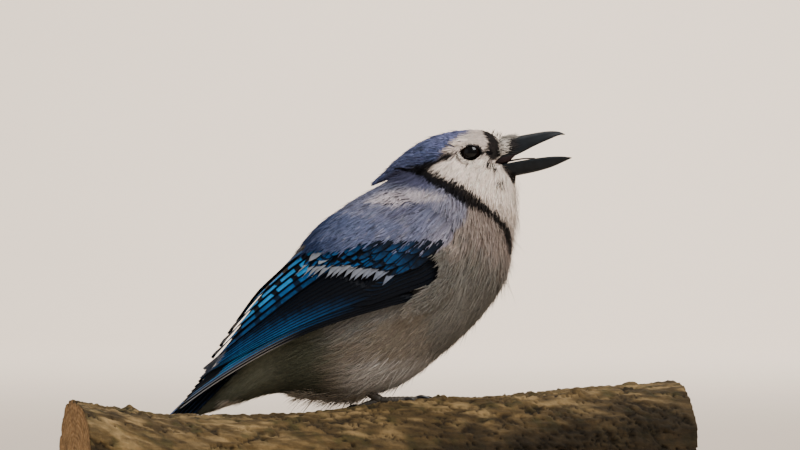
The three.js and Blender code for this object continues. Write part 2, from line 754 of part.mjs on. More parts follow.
const upperBill = billBody(UPPER_BILL, 9, 0.35);
const lowerBill = billBody(LOWER_BILL, 9, 0.3);
const sides = [-1, 1];
const bristles = sides.flatMap((side) => Array.from({ length: BRISTLES.count }, (_, k) => bristle(side, k)));
const eyeRoom = join(
  sides.flatMap((side) => [ball(EYE.radius + GAP, eyeCentre(side), [1, 1, 1]), lidOpening(side)]),
);
const beside = join([grown.neck, grown.torso, billBody(UPPER_BILL, 9, 0, GAP)]);
const plumes = join([...crestFeathers(), ...bristles].map(solid)).subtract(beside);
const head = join([whole.head, plumes, ...sides.map(lidBody)]).subtract(mouthWedge()).subtract(eyeRoom);
const headGrown = grown.head.subtract(mouthWedge());
const tail = tailBody().subtract(torsoGrown);
const wings = sides.map((side) => wingBody(side).subtract(torsoGrown).subtract(grown.neck));
const branchGrown = branchBody(GAP);

const bird = new THREE.Group();
bird.add(
  node("head", head, COLOURS.crown),
  node("neck", whole.neck, COLOURS.pale),
  node("torso", torso, COLOURS.plumage),
  node("bill_upper", upperBill.subtract(headGrown), COLOURS.bill),
  node("bill_lower", lowerBill.subtract(headGrown), COLOURS.bill),
  node("tongue", tongueBody().subtract(headGrown), COLOURS.tongue),
  node("tail", tail, COLOURS.wing),
  ...sides.flatMap((side, i) => {
    const name = side < 0 ? "right" : "left";
    return [
      node(`eye_${name}`, ball(EYE.radius, eyeCentre(side), [1, 1, 1]), COLOURS.eye),
      node(`wing_${name}`, wings[i], COLOURS.wing),
    ];
  }),
  ...LEGS.map((leg) => node(`leg_${leg.name}`, legBody(leg).subtract(torsoGrown), COLOURS.leg)),
);

const stand = new THREE.Group();
stand.add(
  node("perch_branch", branchBody(), COLOURS.bark),
  node("stand_base", baseBody(), COLOURS.base),
  node("stand_rod_rear", rodBody(ROD.spots[0], branchGrown), COLOURS.rod),
  node("stand_rod_front", rodBody(ROD.spots[1], branchGrown), COLOURS.rod),
);

const jay = new THREE.Group();
jay.add(bird, stand);

export default jay;
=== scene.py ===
"""A life-size blue jay with its bill open, on a cut branch that a plain display stand holds."""

from __future__ import annotations

import logging
import math
from collections.abc import Callable, Iterable, Sequence
from dataclasses import dataclass, field
from enum import Enum
from functools import partial, reduce

import bpy
import numpy as np
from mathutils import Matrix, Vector

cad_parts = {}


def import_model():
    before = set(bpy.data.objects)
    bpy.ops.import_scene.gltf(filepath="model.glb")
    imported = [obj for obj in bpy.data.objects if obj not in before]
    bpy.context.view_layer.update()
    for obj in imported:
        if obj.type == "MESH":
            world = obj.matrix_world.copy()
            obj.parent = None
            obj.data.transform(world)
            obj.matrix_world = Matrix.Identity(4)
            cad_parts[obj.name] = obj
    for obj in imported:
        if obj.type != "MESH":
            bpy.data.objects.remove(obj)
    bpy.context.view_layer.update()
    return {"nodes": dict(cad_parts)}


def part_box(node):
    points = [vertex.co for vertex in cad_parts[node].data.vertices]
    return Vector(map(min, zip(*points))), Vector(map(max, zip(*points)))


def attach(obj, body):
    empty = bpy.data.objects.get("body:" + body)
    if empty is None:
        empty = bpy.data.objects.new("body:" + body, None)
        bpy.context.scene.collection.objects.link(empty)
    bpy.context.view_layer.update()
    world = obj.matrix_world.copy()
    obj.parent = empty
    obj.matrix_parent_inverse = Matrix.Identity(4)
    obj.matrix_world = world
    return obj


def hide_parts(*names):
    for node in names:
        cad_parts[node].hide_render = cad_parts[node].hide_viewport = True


log = logging.getLogger("blue_jay")

MM = 0.001
SEED = 20
Array = np.ndarray
Point = tuple[float, float]
Section = tuple[Point, Point, float]
Places = tuple[Array, Array]
Piece = bpy.types.Object
Material = bpy.types.Material
Socket = bpy.types.NodeSocket
Tree = bpy.types.NodeTree


# Numbers and colours


def smooth(value: Array | float, low: float, high: float) -> Array:
    """Rises smoothly from 0 at low to 1 at high, or falls where high is below low."""
    share = np.clip((np.asarray(value, float) - low) / (high - low), 0, 1)
    return share * share * (3 - 2 * share)


def mix(first: Array, second: Array, share: Array) -> Array:
    """Blends two arrays of colours or points by an array of shares."""
    share = np.asarray(share, float)[..., None]
    return first * (1 - share) + second * share


def unit(vectors: Array) -> Array:
    """The same vectors at length 1."""
    return vectors / np.maximum(np.linalg.norm(vectors, axis=-1, keepdims=True), 1e-9)


def between(ends: Sequence[float], share: float) -> float | Array:
    """A value or a point between two others."""
    return np.asarray(ends[0]) * (1 - share) + np.asarray(ends[1]) * share


def opaque(colours: Array) -> Array:
    """The same colours with an alpha of 1."""
    return np.concatenate([colours, np.ones((*colours.shape[:-1], 1))], -1)


def signed_power(value: Array, power: float) -> Array:
    """A power of each number's size, with the number's own sign."""
    return np.sign(value) * np.abs(value) ** power


def full_turn(count: int) -> Array:
    """Angles at even steps around a full turn."""
    return np.linspace(0, 2 * np.pi, count, endpoint=False)


def linear(red: int, green: int, blue: int) -> Array:
    """A colour of 0 to 255 as shown on a screen, turned into linear light."""
    shown = np.array([red, green, blue], float) / 255
    return np.where(shown <= 0.04045, shown / 12.92, ((shown + 0.055) / 1.055) ** 2.4)


def waves(across: Array, along: Array, size: float, seed: int) -> Array:
    """Smooth, repeatable unevenness of about -1 to 1 over two coordinates.

    Args:
        across: First coordinate of each point.
        along: Second coordinate of each point.
        size: Width of the largest swells, in the coordinates' own units.
        seed: Picks one pattern.

    Returns:
        One number for each point.
    """
    octaves, finer, spread = 7, 1.35, 3.2
    rng = np.random.default_rng(seed)
    total = np.zeros(np.broadcast(across, along).shape)
    for octave in range(octaves):
        turn = rng.uniform(0, 2 * np.pi)
        pitch = 2 * np.pi * finer**octave / size
        phase = rng.uniform(0, 2 * np.pi)
        total += np.sin((across * np.cos(turn) + along * np.sin(turn)) * pitch + phase)
    return total / spread


class Tone(Enum):
    """The colours of the bird, as shown on a screen."""

    CROWN = (84, 89, 118)
    CROWN_DARK = (54, 65, 98)
    CROWN_LIGHT = (112, 112, 146)
    # Pale brow, partly painted sheen on the forehead.
    BROW = (208, 190, 176)
    BLACK = (12, 11, 13)
    SOOT = (66, 62, 60)
    NASAL = (184, 172, 158)
    WHITE = (244, 225, 209)
    CHEEK = (196, 180, 167)
    NAPE = (76, 76, 98)
    MANTLE = (103, 104, 123)
    MANTLE_BLUE = (92, 99, 127)
    MANTLE_LIGHT = (142, 138, 150)
    MANTLE_DEEP = (42, 52, 80)
    # Painted highlight on the top of the back.
    MANTLE_PALE = (194, 182, 184)
    BREAST = (138, 124, 115)
    # Painted shade: the lower breast, belly, flank, rear and undertail tones are darker than these whitish
    # feathers are, as if lit from above.
    BREAST_LOW = (104, 101, 95)
    BELLY = (118, 110, 99)
    BELLY_PALE = (168, 164, 160)
    FLANK = (108, 107, 104)
    REAR = (72, 74, 62)
    UNDERTAIL = (114, 116, 100)
    WISP = (214, 204, 190)

    @property
    def rgb(self) -> Array:
        """The tone in linear light."""
        return linear(*self.value)


def layered(ground: Tone, *layers: tuple[Tone, Array]) -> Array:
    """Lays tones over one another.

    Args:
        ground: The lowest tone.
        *layers: A tone and how much of it covers each point, for each layer.

    Returns:
        One linear colour for each point.
    """
    colour = ground.rgb
    for tone, share in layers:
        colour = mix(colour, tone.rgb, share)
    return colour


# Meshes


def make_object(
    name: str,
    points: Array,
    faces: Array,
    material: Material,
    corner_uv: Array | None = None,
    normals: Array | None = None,
    **values: Array,
) -> Piece:
    """Makes a mesh object from arrays.

    Args:
        name: The piece's name.
        points: Vertices in millimetres, one row each.
        faces: Vertex numbers, one row for each face, all with as many corners.
        material: The finish of the whole piece.
        corner_uv: A place in the unwrap for each face's corners, in order.
        normals: Normal of each vertex, where it isn't the faces' own.
        **values: Named values for each vertex, of 3 numbers, or 4 for a colour.

    Returns:
        The new object, linked to the scene.
    """
    mesh = bpy.data.meshes.new(name)
    mesh.vertices.add(len(points))
    mesh.vertices.foreach_set("co", (points * MM).astype(np.float32).ravel())
    mesh.loops.add(faces.size)
    mesh.loops.foreach_set("vertex_index", faces.astype(np.int32).ravel())
    mesh.polygons.add(len(faces))
    mesh.polygons.foreach_set("loop_start", np.arange(0, faces.size, faces.shape[1], dtype=np.int32))
    mesh.polygons.foreach_set("use_smooth", np.ones(len(faces), bool))
    mesh.update(calc_edges=True)
    if corner_uv is not None:
        mesh.uv_layers.new(name="OFBake").uv.foreach_set("vector", corner_uv.astype(np.float32).ravel())
    for key, value in values.items():
        kind, slot = ("FLOAT_COLOR", "color") if value.shape[1] == 4 else ("FLOAT_VECTOR", "vector")
        mesh.attributes.new(key, kind, "POINT").data.foreach_set(slot, value.astype(np.float32).ravel())
    if normals is not None:
        mesh.normals_split_custom_set_from_vertices(normals.astype(np.float32))
    mesh.materials.append(material)
    piece = bpy.data.objects.new(name, mesh)
    bpy.context.scene.collection.objects.link(piece)
    return piece


def grid_faces(rows: int, columns: int, closed: bool) -> tuple[Array, Array]:
    """Faces of a grid of points and the unwrap of their corners.

    Args:
        rows: Number of rows of points.
        columns: Number of points in a row.
        closed: Whether each row is a ring.

    Returns:
        The faces' vertex numbers, and each corner's place from 0 to 1.
    """
    across = columns if closed else columns - 1
    row, column = np.meshgrid(np.arange(rows - 1), np.arange(across), indexing="ij")
    row, column = row.ravel(), column.ravel()
    after = (column + 1) % columns
    here, beyond = row * columns, (row + 1) * columns
    faces = np.stack([here + column, here + after, beyond + after, beyond + column], 1)
    low, high = row / (rows - 1), (row + 1) / (rows - 1)
    left, right = column / across, (column + 1) / across
    corners = np.stack([left, low, right, low, right, high, left, high], 1).reshape(-1, 2)
    return faces, corners


def turned_grid(along: Array, columns: int) -> tuple[Array, Array]:
    """Values along a body and angles around it, as two grids."""
    return np.meshgrid(along, np.arange(columns) * 2 * np.pi / columns, indexing="ij")


def facing_out(points: Array, faces: Array) -> Array:
    """Turns a closed body's faces so that they look out.

    Args:
        points: Its vertices.
        faces: Its faces' vertex numbers, all wound the same way.

    Returns:
        The faces as they came, or the same ones wound the other way.
    """
    first, second, third = (points[faces[:, k]] for k in range(3))
    volume = np.einsum("ij,ij->i", first, np.cross(second, third)).sum()
    if faces.shape[1] == 4:
        fourth = points[faces[:, 3]]
        volume += np.einsum("ij,ij->i", first, np.cross(third, fourth)).sum()
    return faces if volume > 0 else faces[:, ::-1]


def loft(name: str, rings: Array, material: Material, **values: Array) -> Piece:
    """A closed body through rings of points, each end drawn together to its middle.

    Args:
        name: The piece's name.
        rings: Points as rows, columns and x, y, z.
        material: The finish of the whole piece.
        **values: Named values for each ring point.

    Returns:
        The new object.
    """
    closing = [np.repeat(rings[k].mean(0)[None], rings.shape[1], 0)[None] for k in (0, -1)]
    rings = np.concatenate([closing[0], rings, closing[1]])
    grown = {
        key: np.concatenate([value[:1], value, value[-1:]]).reshape(-1, value.shape[-1])
        for key, value in values.items()
    }
    faces, corners = grid_faces(rings.shape[0], rings.shape[1], True)
    points = rings.reshape(-1, 3)
    turned = facing_out(points, faces)
    if turned is not faces:
        corners = corners.reshape(-1, 4, 2)[:, ::-1].reshape(-1, 2)
    return make_object(name, points, turned, material, corner_uv=corners, **grown)


# Surfaces


def spline(knots: Array, places: Array) -> Array:
    """A smooth curve through evenly numbered knots, straight beyond its ends.

    Args:
        knots: One row of values for each knot.
        places: Where to read it, 0 at the first knot and 1 more at each next one.

    Returns:
        One row of values for each place.
    """
    last = len(knots) - 1
    held = np.clip(places, 0, last)
    padded = np.concatenate([2 * knots[:1] - knots[1:2], knots, 2 * knots[-1:] - knots[-2:-1]])
    start = np.minimum(held.astype(int), last - 1)
    share = (held - start)[..., None]
    before, here, after, beyond = (padded[start + k] for k in range(4))
    curve = 0.5 * (
        2 * here
        + (after - before) * share
        + (2 * before - 5 * here + 4 * after - beyond) * share**2
        + (3 * here - before - 3 * after + beyond) * share**3
    )
    over = (places - held)[..., None]
    return curve + np.where(over < 0, over * (knots[1] - knots[0]), over * (knots[-1] - knots[-2]))


def wrapped(angle: Array) -> Array:
    """The same angles, brought to between -pi and pi."""
    return (angle + np.pi) % (2 * np.pi) - np.pi


def side_name(side: int) -> str:
    """The name of a side of the bird."""
    return "left" if side > 0 else "right"


def section_table(sections: Sequence[Section]) -> Array:
    """Sections as rows: the first point, the second point and half the width."""
    return np.array([[*first, *second, half] for first, second, half in sections])


@dataclass(frozen=True)
class Shell:
    """A surface through oval sections, each set by a point on the back and one on the belly.

    A place on it is a section's number, whole or between two, and the angle from the back down the left side.
    """

    sections: tuple[Section, ...]
    perch_top: float
    fullness: float = 2.15
    thinnest: float = 0.6

    @property
    def last(self) -> int:
        """The number of the last section."""
        return len(self.sections) - 1

    def section(self, t: Array) -> tuple[Array, Array, Array]:
        """The back point, the belly point and half the width at each section number."""
        read = spline(section_table(self.sections), np.asarray(t, float))
        return read[..., 0:2], read[..., 2:4], np.maximum(read[..., 4], self.thinnest)

    def surface(self, t: Array, angle: Array) -> Array:
        """Finds points of the surface.

        Args:
            t, angle: The places.

        Returns:
            The points in millimetres.
        """
        t, angle = np.broadcast_arrays(np.asarray(t, float), np.asarray(angle, float))
        back, belly, half = self.section(t)
        level = signed_power(np.cos(angle), 2 / self.fullness)
        out = signed_power(np.sin(angle), 2 / self.fullness)
        spot = belly + (back - belly) * ((1 + level) / 2)[..., None]
        return np.stack([spot[..., 0], half * out, self.perch_top + spot[..., 1]], -1)

    def slopes(self, t: Array, angle: Array, step: float = 0.02) -> tuple[Array, Array]:
        """Measures how the surface runs.

        Args:
            t, angle: The places.
            step: How far to each side it is read.

        Returns:
            How far a point moves for each section number, and for each radian.
        """
        along = (self.surface(t + step, angle) - self.surface(t - step, angle)) / (2 * step)
        around = (self.surface(t, angle + step) - self.surface(t, angle - step)) / (2 * step)
        return along, around

    def normal(self, t: Array, angle: Array) -> Array:
        """The way out of the surface at these places."""
        return unit(np.cross(*self.slopes(t, angle)))

    def locate(self, x: Array, height: Array) -> Places:
        """Finds the places seen from the side at points of the outline's plane.

        Args:
            x, height: The points, seen from the side.

        Returns:
            Section numbers and angles, on the left side.
        """
        low = np.zeros(np.shape(x))
        high = np.full(np.shape(x), float(self.last))
        spot = np.stack([x, height], -1)

        def beside(t: Array) -> Array:
            """On which side of a section's line each point lies, by its sign."""
            back, belly, _ = self.section(t)
            line, to = belly - back, spot - back
            return line[..., 0] * to[..., 1] - line[..., 1] * to[..., 0]

        rises = beside(high) > 0
        halvings = 34
        for _ in range(halvings):
            middle = (low + high) / 2
            above = (beside(middle) > 0) == rises
            high = np.where(above, middle, high)
            low = np.where(above, low, middle)
        back, belly, _ = self.section(low)
        line = belly - back
        share = np.clip(((spot - back) * line).sum(-1) / (line**2).sum(-1), 0, 1)
        return low, np.arccos(signed_power(1 - 2 * share, self.fullness / 2))


BODY_SECTIONS = (
    ((-74.3, 2.2), (-68.5, -3.2), 4.5),
    ((-64.3, 14.4), (-57.5, 0.2), 9.5),
    ((-54.6, 29.5), (-45.8, 3.2), 15.5),
    ((-43.8, 46.0), (-31.5, 1.6), 21),
    ((-34.9, 60.6), (-13.9, 0.6), 25.5),
    ((-27.0, 72.5), (6.3, 6.7), 28.5),
    ((-16.8, 81.5), (23.1, 18.9), 30),
    ((-5.9, 87.8), (39.1, 34.0), 29.5),
    ((1.3, 92.0), (50.0, 49.6), 27.5),
    ((5.5, 95.2), (52.9, 63.0), 24),
    ((9.6, 99.6), (54.2, 74.8), 20),
    ((18.1, 106.6), (54.6, 84.8), 16.5),
    ((29.4, 112.4), (53.3, 91.2), 14.4),
    ((39.9, 113.2), (50.8, 94.6), 11.6),
    ((46.2, 110.6), (49.4, 97.0), 8),
    ((48.8, 107.4), (50.2, 100.2), 4),
)
WING_SECTIONS = (
    ((-87.8, -0.4), (-80.2, -8.4), 13),
    ((-74.8, 11.8), (-63.4, -3.4), 16),
    ((-61.9, 30.0), (-48.3, 1.3), 21),
    ((-52.0, 43.6), (-34.9, 1.7), 26),
    ((-41.4, 54.8), (-19.7, -0.4), 29.6),
    ((-31.4, 68.9), (2.1, 3.8), 31.8),
    ((-18.5, 80.2), (23.1, 18.9), 32.4),
    ((-5.9, 87.4), (40.7, 35.7), 31.2),
    ((2.9, 92.6), (51.7, 55.4), 28.6),
)
CREST_SECTIONS = (
    ((-4.8, 91.4), (-4.5, 90.7), 0.6),
    ((-0.4, 95.2), (0.2, 92.6), 2.6),
    ((4.4, 100.1), (4.6, 93.5), 5.8),
    ((10.8, 105.2), (9.0, 91.5), 9.4),
    ((17.8, 109.2), (17.0, 92.5), 12.5),
    ((25.8, 111.9), (25.6, 96.0), 13.0),
    ((33.5, 112.9), (33.5, 100.0), 12.2),
)


# Shader effects


class Nodes:
    """Adds and links the nodes of a material or a group, in a few words each."""

    def __init__(self, tree: Tree) -> None:
        """Args: tree: The node tree to fill."""
        self.tree = tree

    def feed(self, socket: Socket, value: object) -> None:
        """Links an output to a socket, or sets the socket's own value.

        Args:
            socket: The socket to feed.
            value: An output socket, a number or a colour.
        """
        if isinstance(value, Socket):
            self.tree.links.new(value, socket)
        else:
            socket.default_value = value

    def add(self, kind: str, settings: dict | None = None, **inputs: object) -> bpy.types.Node:
        """Adds a node.

        Args:
            kind: The node's type without its ShaderNode prefix.
            settings: The node's own properties.
            **inputs: What feeds each socket: its name with underscores for spaces, or "in" and its number.

        Returns:
            The new node.
        """
        node = self.tree.nodes.new("ShaderNode" + kind)
        for key, value in (settings or {}).items():
            setattr(node, key, value)
        for key, value in inputs.items():
            index = key.removeprefix("in")
            self.feed(node.inputs[int(index) if index.isdigit() else key.replace("_", " ")], value)
        return node

    def group(self, tree: Tree, **inputs: object) -> bpy.types.Node:
        """Places an effect with its own values."""
        return self.add("Group", {"node_tree": tree}, **inputs)

    def math(self, operation: str, *values: object, clamp: bool = False) -> Socket:
        """The result of one sum on numbers or sockets."""
        given = {f"in{k}": value for k, value in enumerate(values)}
        return self.add("Math", {"operation": operation, "use_clamp": clamp}, **given).outputs[0]

    def plus(self, first: object, *others: object) -> Socket:
        """The sum of numbers or sockets, in order."""
        return reduce(partial(self.math, "ADD"), others, first)

    def times(self, first: object, *others: object) -> Socket:
        """The product of numbers or sockets, in order."""
        return reduce(partial(self.math, "MULTIPLY"), others, first)

    def minus(self, first: object, second: object) -> Socket:
        """A number or socket less another."""
        return self.math("SUBTRACT", first, second)

    def step(self, value: object, low: float, high: float) -> Socket:
        """A smooth rise from 0 at low to 1 at high, or a fall where high is below low.

        Args:
            value: The socket to read.
            low: Where the result is 0.
            high: Where the result is 1.

        Returns:
            The result.
        """
        falls = high < low
        near, far = sorted((low, high))
        ends = {"From_Min": near, "From_Max": far, "To_Min": float(falls), "To_Max": float(not falls)}
        node = self.add("MapRange", {"interpolation_type": "SMOOTHSTEP"}, Value=value, **ends)
        return node.outputs["Result"]

    def blend(self, first: object, second: object, share: object) -> Socket:
        """A colour between two others."""
        return self.add("Mix", {"data_type": "RGBA"}, in6=first, in7=second, in0=share).outputs[2]

    def read(self, name: str, output: str = "Color") -> Socket:
        """A value that each vertex carries."""
        return self.add("Attribute", {"attribute_name": name}).outputs[output]

    def noise(self, scale: object, detail: float, roughness: float = 0.5, squeeze: object = None) -> Socket:
        """Fine unevenness, in the model's own space.

        Args:
            scale: How fine it is.
            detail: How many finer layers lie in it.
            roughness: How strong the finer layers are.
            squeeze: How close it lies along the model's length, where less draws it out.

        Returns:
            A number of 0 to 1.
        """
        place = self.add("TexCoord").outputs["Object"]
        if squeeze is not None:
            stretch = self.add("CombineXYZ", None, X=squeeze, Y=1.0, Z=1.0).outputs[0]
            place = self.add("VectorMath", {"operation": "MULTIPLY"}, in0=place, in1=stretch).outputs[0]
        given = {"Vector": place, "Scale": scale, "Detail": detail, "Roughness": roughness}
        return self.add("TexNoise", None, **given).outputs[0]


def effect(name: str, inputs: dict[str, float | tuple], outputs: Iterable[str]) -> tuple[Nodes, dict, dict]:
    """Starts a node group with named sockets.

    Args:
        name: The group's name.
        inputs: Socket names with their first values: numbers, or colours of four numbers.
        outputs: Socket names; one that ends in Colour is a colour.

    Returns:
        The group's nodes, its input sockets and its output sockets, by name.
    """
    tree = bpy.data.node_groups.new(name, "ShaderNodeTree")
    for key, value in inputs.items():
        kind = "NodeSocketColor" if isinstance(value, tuple) else "NodeSocketFloat"
        tree.interface.new_socket(key, in_out="INPUT", socket_type=kind).default_value = value
    for key in outputs:
        kind = "NodeSocketColor" if key.endswith("Colour") else "NodeSocketFloat"
        tree.interface.new_socket(key, in_out="OUTPUT", socket_type=kind)
    nodes = Nodes(tree)
    start, end = tree.nodes.new("NodeGroupInput"), tree.nodes.new("NodeGroupOutput")
    return nodes, {s.name: s for s in start.outputs}, {s.name: s for s in end.inputs}


def paint(tone: Array, alpha: float = 1.0) -> tuple[float, float, float, float]:
    """A linear colour as a socket's four numbers."""
    return (float(tone[0]), float(tone[1]), float(tone[2]), alpha)


class Effects:
    """The effects that the finishes share, each built once."""

    def __init__(self) -> None:
        """Builds every effect."""
        self.mottle = self.build_mottle()
        self.web = self.build_web()
        self.grain = self.build_grain()

    def mottled(self, nodes: Nodes, colour: object, scale: float, amount: float) -> tuple[Socket, Socket]:
        """Places the mottle in a material, and gives the mottled colour and the height."""
        node = nodes.group(self.mottle, Colour=colour, Scale=scale, Amount=amount)
        return node.outputs["Mottled Colour"], node.outputs["Height"]

    @staticmethod
    def build_mottle() -> Tree:
        """Uneven light and dark over a colour, and the height of fine roughness."""
        given = {"Colour": (0.5, 0.5, 0.5, 1.0), "Scale": 400.0, "Amount": 0.2}
        nodes, given, out = effect("Mottle", given, ("Mottled Colour", "Height"))
        noise = nodes.noise(given["Scale"], 4.0, 0.6)
        light = nodes.plus(nodes.times(nodes.minus(noise, 0.5), given["Amount"], 2.0), 1.0)
        tinted = nodes.add("VectorMath", {"operation": "SCALE"}, in0=given["Colour"], Scale=light).outputs[0]
        nodes.feed(out["Mottled Colour"], tinted)
        nodes.feed(out["Height"], noise)
        return nodes.tree

    @staticmethod
    def build_web() -> Tree:
        """A long feather's web: a blue band with black bars, a dark shaft, fine barbs, a pale rim, and a
        white tip greyed by painted shade.

        Edge, Reach and From Tip place a point on its feather, in millimetres. The others are its pattern.
        """
        given = {"Edge": 0.0, "Reach": 0.0, "From Tip": 0.0, "Bars": 1.0, "Blue": 0.5, "White": 0.0}
        given |= {"Rim": 0.0, "Band": 3.0, "Period": 10.0, "Shift": 0.0, "Fade": 60.0}
        given["Dark"] = (0.0018, 0.0028, 0.0055, 1.0)
        nodes, given, out = effect("Feather web", given, ("Web Colour", "Height"))
        edge, tip = given["Edge"], given["From Tip"]
        plus, times, minus, step = nodes.plus, nodes.times, nodes.minus, nodes.step
        ragged = minus(nodes.noise(420.0, 3.0), 0.5)
        side = nodes.math("ABSOLUTE", given["Reach"])
        lean = plus(tip, times(edge, 0.35), given["Shift"], times(ragged, 1.6))
        swing = nodes.math("PINGPONG", nodes.math("DIVIDE", lean, given["Period"]), 0.5)
        bar = times(step(swing, 0.16, 0.11), given["Bars"])
        border = nodes.math("MINIMUM", edge, tip)
        inner = minus(given["Band"], plus(edge, times(ragged, 0.8)))
        shown = times(step(border, 0.2, 0.5), step(inner, -0.2, 0.3), minus(1.0, bar))
        shown = times(shown, step(minus(given["Fade"], tip), -20.0, 40.0))
        dim = times(nodes.math("DIVIDE", tip, given["Fade"]), 0.45)
        glow = nodes.math("ADD", minus(given["Blue"], dim), times(ragged, 0.5), clamp=True)
        deep, middle, bright = (paint(linear(*tone)) for tone in ((3, 22, 42), (12, 80, 136), (38, 136, 200)))
        blue = nodes.blend(nodes.blend(deep, middle, step(glow, 0.0, 0.5)), bright, step(glow, 0.45, 1.0))
        webbed = nodes.blend(given["Dark"], blue, shown)
        webbed = nodes.blend(webbed, paint(linear(14, 13, 16)), step(side, 0.3, 0.12))
        pale = times(step(edge, 0.5, 0.25), given["Rim"], step(tip, 64.0, 40.0))
        webbed = nodes.blend(webbed, paint(linear(168, 164, 160)), pale)
        point = plus(tip, times(edge, 1.1), times(ragged, 3.0))
        # Painted shade: the white tips are grey, bluer where the feather has no bars.
        shaded_white_tip = nodes.blend(paint(linear(104, 112, 132)), paint(linear(144, 148, 154)), given["Bars"])
        webbed = nodes.blend(webbed, shaded_white_tip, step(minus(given["White"], point), -0.3, 0.5))
        nodes.feed(out["Web Colour"], webbed)
        barbs = times(minus(tip, times(side, -0.9)), 12.0)
        nodes.feed(out["Height"], nodes.math("SINE", barbs))
        return nodes.tree

    @staticmethod
    def build_grain() -> Tree:
        """Long streaks of light and dark along one axis, with their height."""
        given = {"First": (0.2, 0.1, 0.05, 1.0), "Second": (0.1, 0.05, 0.02, 1.0), "Scale": 60.0}
        given["Stretch"] = 0.12
        nodes, given, out = effect("Grain", given, ("Grain Colour", "Height"))
        noise = nodes.noise(given["Scale"], 6.0, 0.65, given["Stretch"])
        colour = nodes.blend(given["First"], given["Second"], nodes.step(noise, 0.35, 0.68))
        nodes.feed(out["Grain Colour"], colour)
        nodes.feed(out["Height"], noise)
        return nodes.tree


# Finishes


@dataclass(frozen=True)
class Finish:
    """What every finish has: its name, the plain values of its surface and its pattern."""

    name: str
    roughness: float = 0.6
    specular: float = 0.5
    bump: float = 0.2
    bump_depth: float = 0.0001
    metallic: float = 0.0
    coat: float = 0.0

    def pattern(self, nodes: Nodes, effects: Effects) -> tuple[Socket, Socket | None]:
        """Builds what changes over the surface: the colour, and the height of its relief if it has one."""
        raise NotImplementedError

    def make(self, effects: Effects) -> Material:
        """Builds the material.

        Args:
            effects: The shared effects.

        Returns:
            The material, with its shader's plain values, colour and bump set.
        """
        material = bpy.data.materials.new(self.name)
        material.use_nodes = True
        nodes = Nodes(material.node_tree)
        shader = material.node_tree.nodes["Principled BSDF"]
        colour, height = self.pattern(nodes, effects)
        given = {
            "Roughness": self.roughness,
            "Specular IOR Level": self.specular,
            "Metallic": self.metallic,
            "Coat Weight": self.coat,
            "Base Color": colour,
        }
        if height is not None:
            bump = nodes.add("Bump", None, Height=height, Strength=self.bump, Distance=self.bump_depth)
            given["Normal"] = bump.outputs[0]
        for name, value in given.items():
            nodes.feed(shader.inputs[name], value)
        return material


@dataclass(frozen=True)
class Plumage(Finish):
    """Short feathers and the skin under them, coloured by the value each vertex carries."""

    amount: float = 0.35
    scale: float = 900.0

    def pattern(self, nodes: Nodes, effects: Effects) -> tuple[Socket, Socket | None]:
        """The coat's own colour, mottled."""
        return effects.mottled(nodes, nodes.read("coat"), self.scale, self.amount)


WEB_VALUES = {
    "vane": ("Edge", "Reach", "From_Tip"),
    "ink": ("Bars", "Blue", "White"),
    "more": ("Rim", "Band", "Fade"),
    "bar": ("Period", "Shift"),
}


@dataclass(frozen=True)
class Web(Finish):
    """The long feathers of the wings and tail, patterned by the values each vertex carries."""

    def pattern(self, nodes: Nodes, effects: Effects) -> tuple[Socket, Socket | None]:
        """The web's colours from each feather's own values, and the height of its barbs."""
        given = {}
        for name, parts in WEB_VALUES.items():
            read = nodes.add("SeparateXYZ", None, Vector=nodes.read(name, "Vector"))
            given |= {part: read.outputs[k] for k, part in enumerate(parts)}
        web = nodes.group(effects.web, **given)
        colour, _ = effects.mottled(nodes, web.outputs["Web Colour"], 500.0, 0.3)
        return colour, web.outputs["Height"]


@dataclass(frozen=True)
class Mottled(Finish):
    """One colour, unevenly light and dark, such as horn, scaly skin or the inside of the mouth."""

    tone: tuple[int, int, int] = (40, 40, 44)
    amount: float = 0.3
    scale: float = 300.0

    def pattern(self, nodes: Nodes, effects: Effects) -> tuple[Socket, Socket | None]:
        """The tone, mottled."""
        return effects.mottled(nodes, paint(linear(*self.tone)), self.scale, self.amount)


@dataclass(frozen=True)
class Eyeball(Finish):
    """A wet, dark eye with a pupil and a brown iris, coloured by the value each vertex carries."""

    def pattern(self, nodes: Nodes, effects: Effects) -> tuple[Socket, Socket | None]:
        """The iris's fine flecks, without relief."""
        return effects.mottled(nodes, nodes.read("coat"), 1500.0, 0.5)[0], None


@dataclass(frozen=True)
class Wood(Finish):
    """Streaked wood, such as the stained base."""

    light: tuple[int, int, int] = (96, 66, 46)
    dark: tuple[int, int, int] = (48, 32, 23)
    scale: float = 160.0
    stretch: float = 0.08

    def pattern(self, nodes: Nodes, effects: Effects) -> tuple[Socket, Socket | None]:
        """The streaks and their height."""
        first, second = (paint(linear(*tone)) for tone in (self.light, self.dark))
        grain = nodes.group(effects.grain, First=first, Second=second, Scale=self.scale, Stretch=self.stretch)
        return grain.outputs["Grain Colour"], grain.outputs["Height"]


@dataclass(frozen=True)
class Bark(Finish):
    """Rough bark and sawn ends, coloured by the value each vertex carries."""

    def pattern(self, nodes: Nodes, effects: Effects) -> tuple[Socket, Socket | None]:
        """Long streaks with a fine mottle over them, and the height of both."""
        coat = nodes.read("coat")
        dark = nodes.blend(coat, paint(linear(22, 17, 9)), 0.5)
        long = nodes.group(effects.grain, First=dark, Second=coat, Scale=250.0, Stretch=0.16)
        colour, fine = effects.mottled(nodes, long.outputs["Grain Colour"], 700.0, 0.35)
        return colour, nodes.plus(long.outputs["Height"], nodes.times(fine, 0.3))


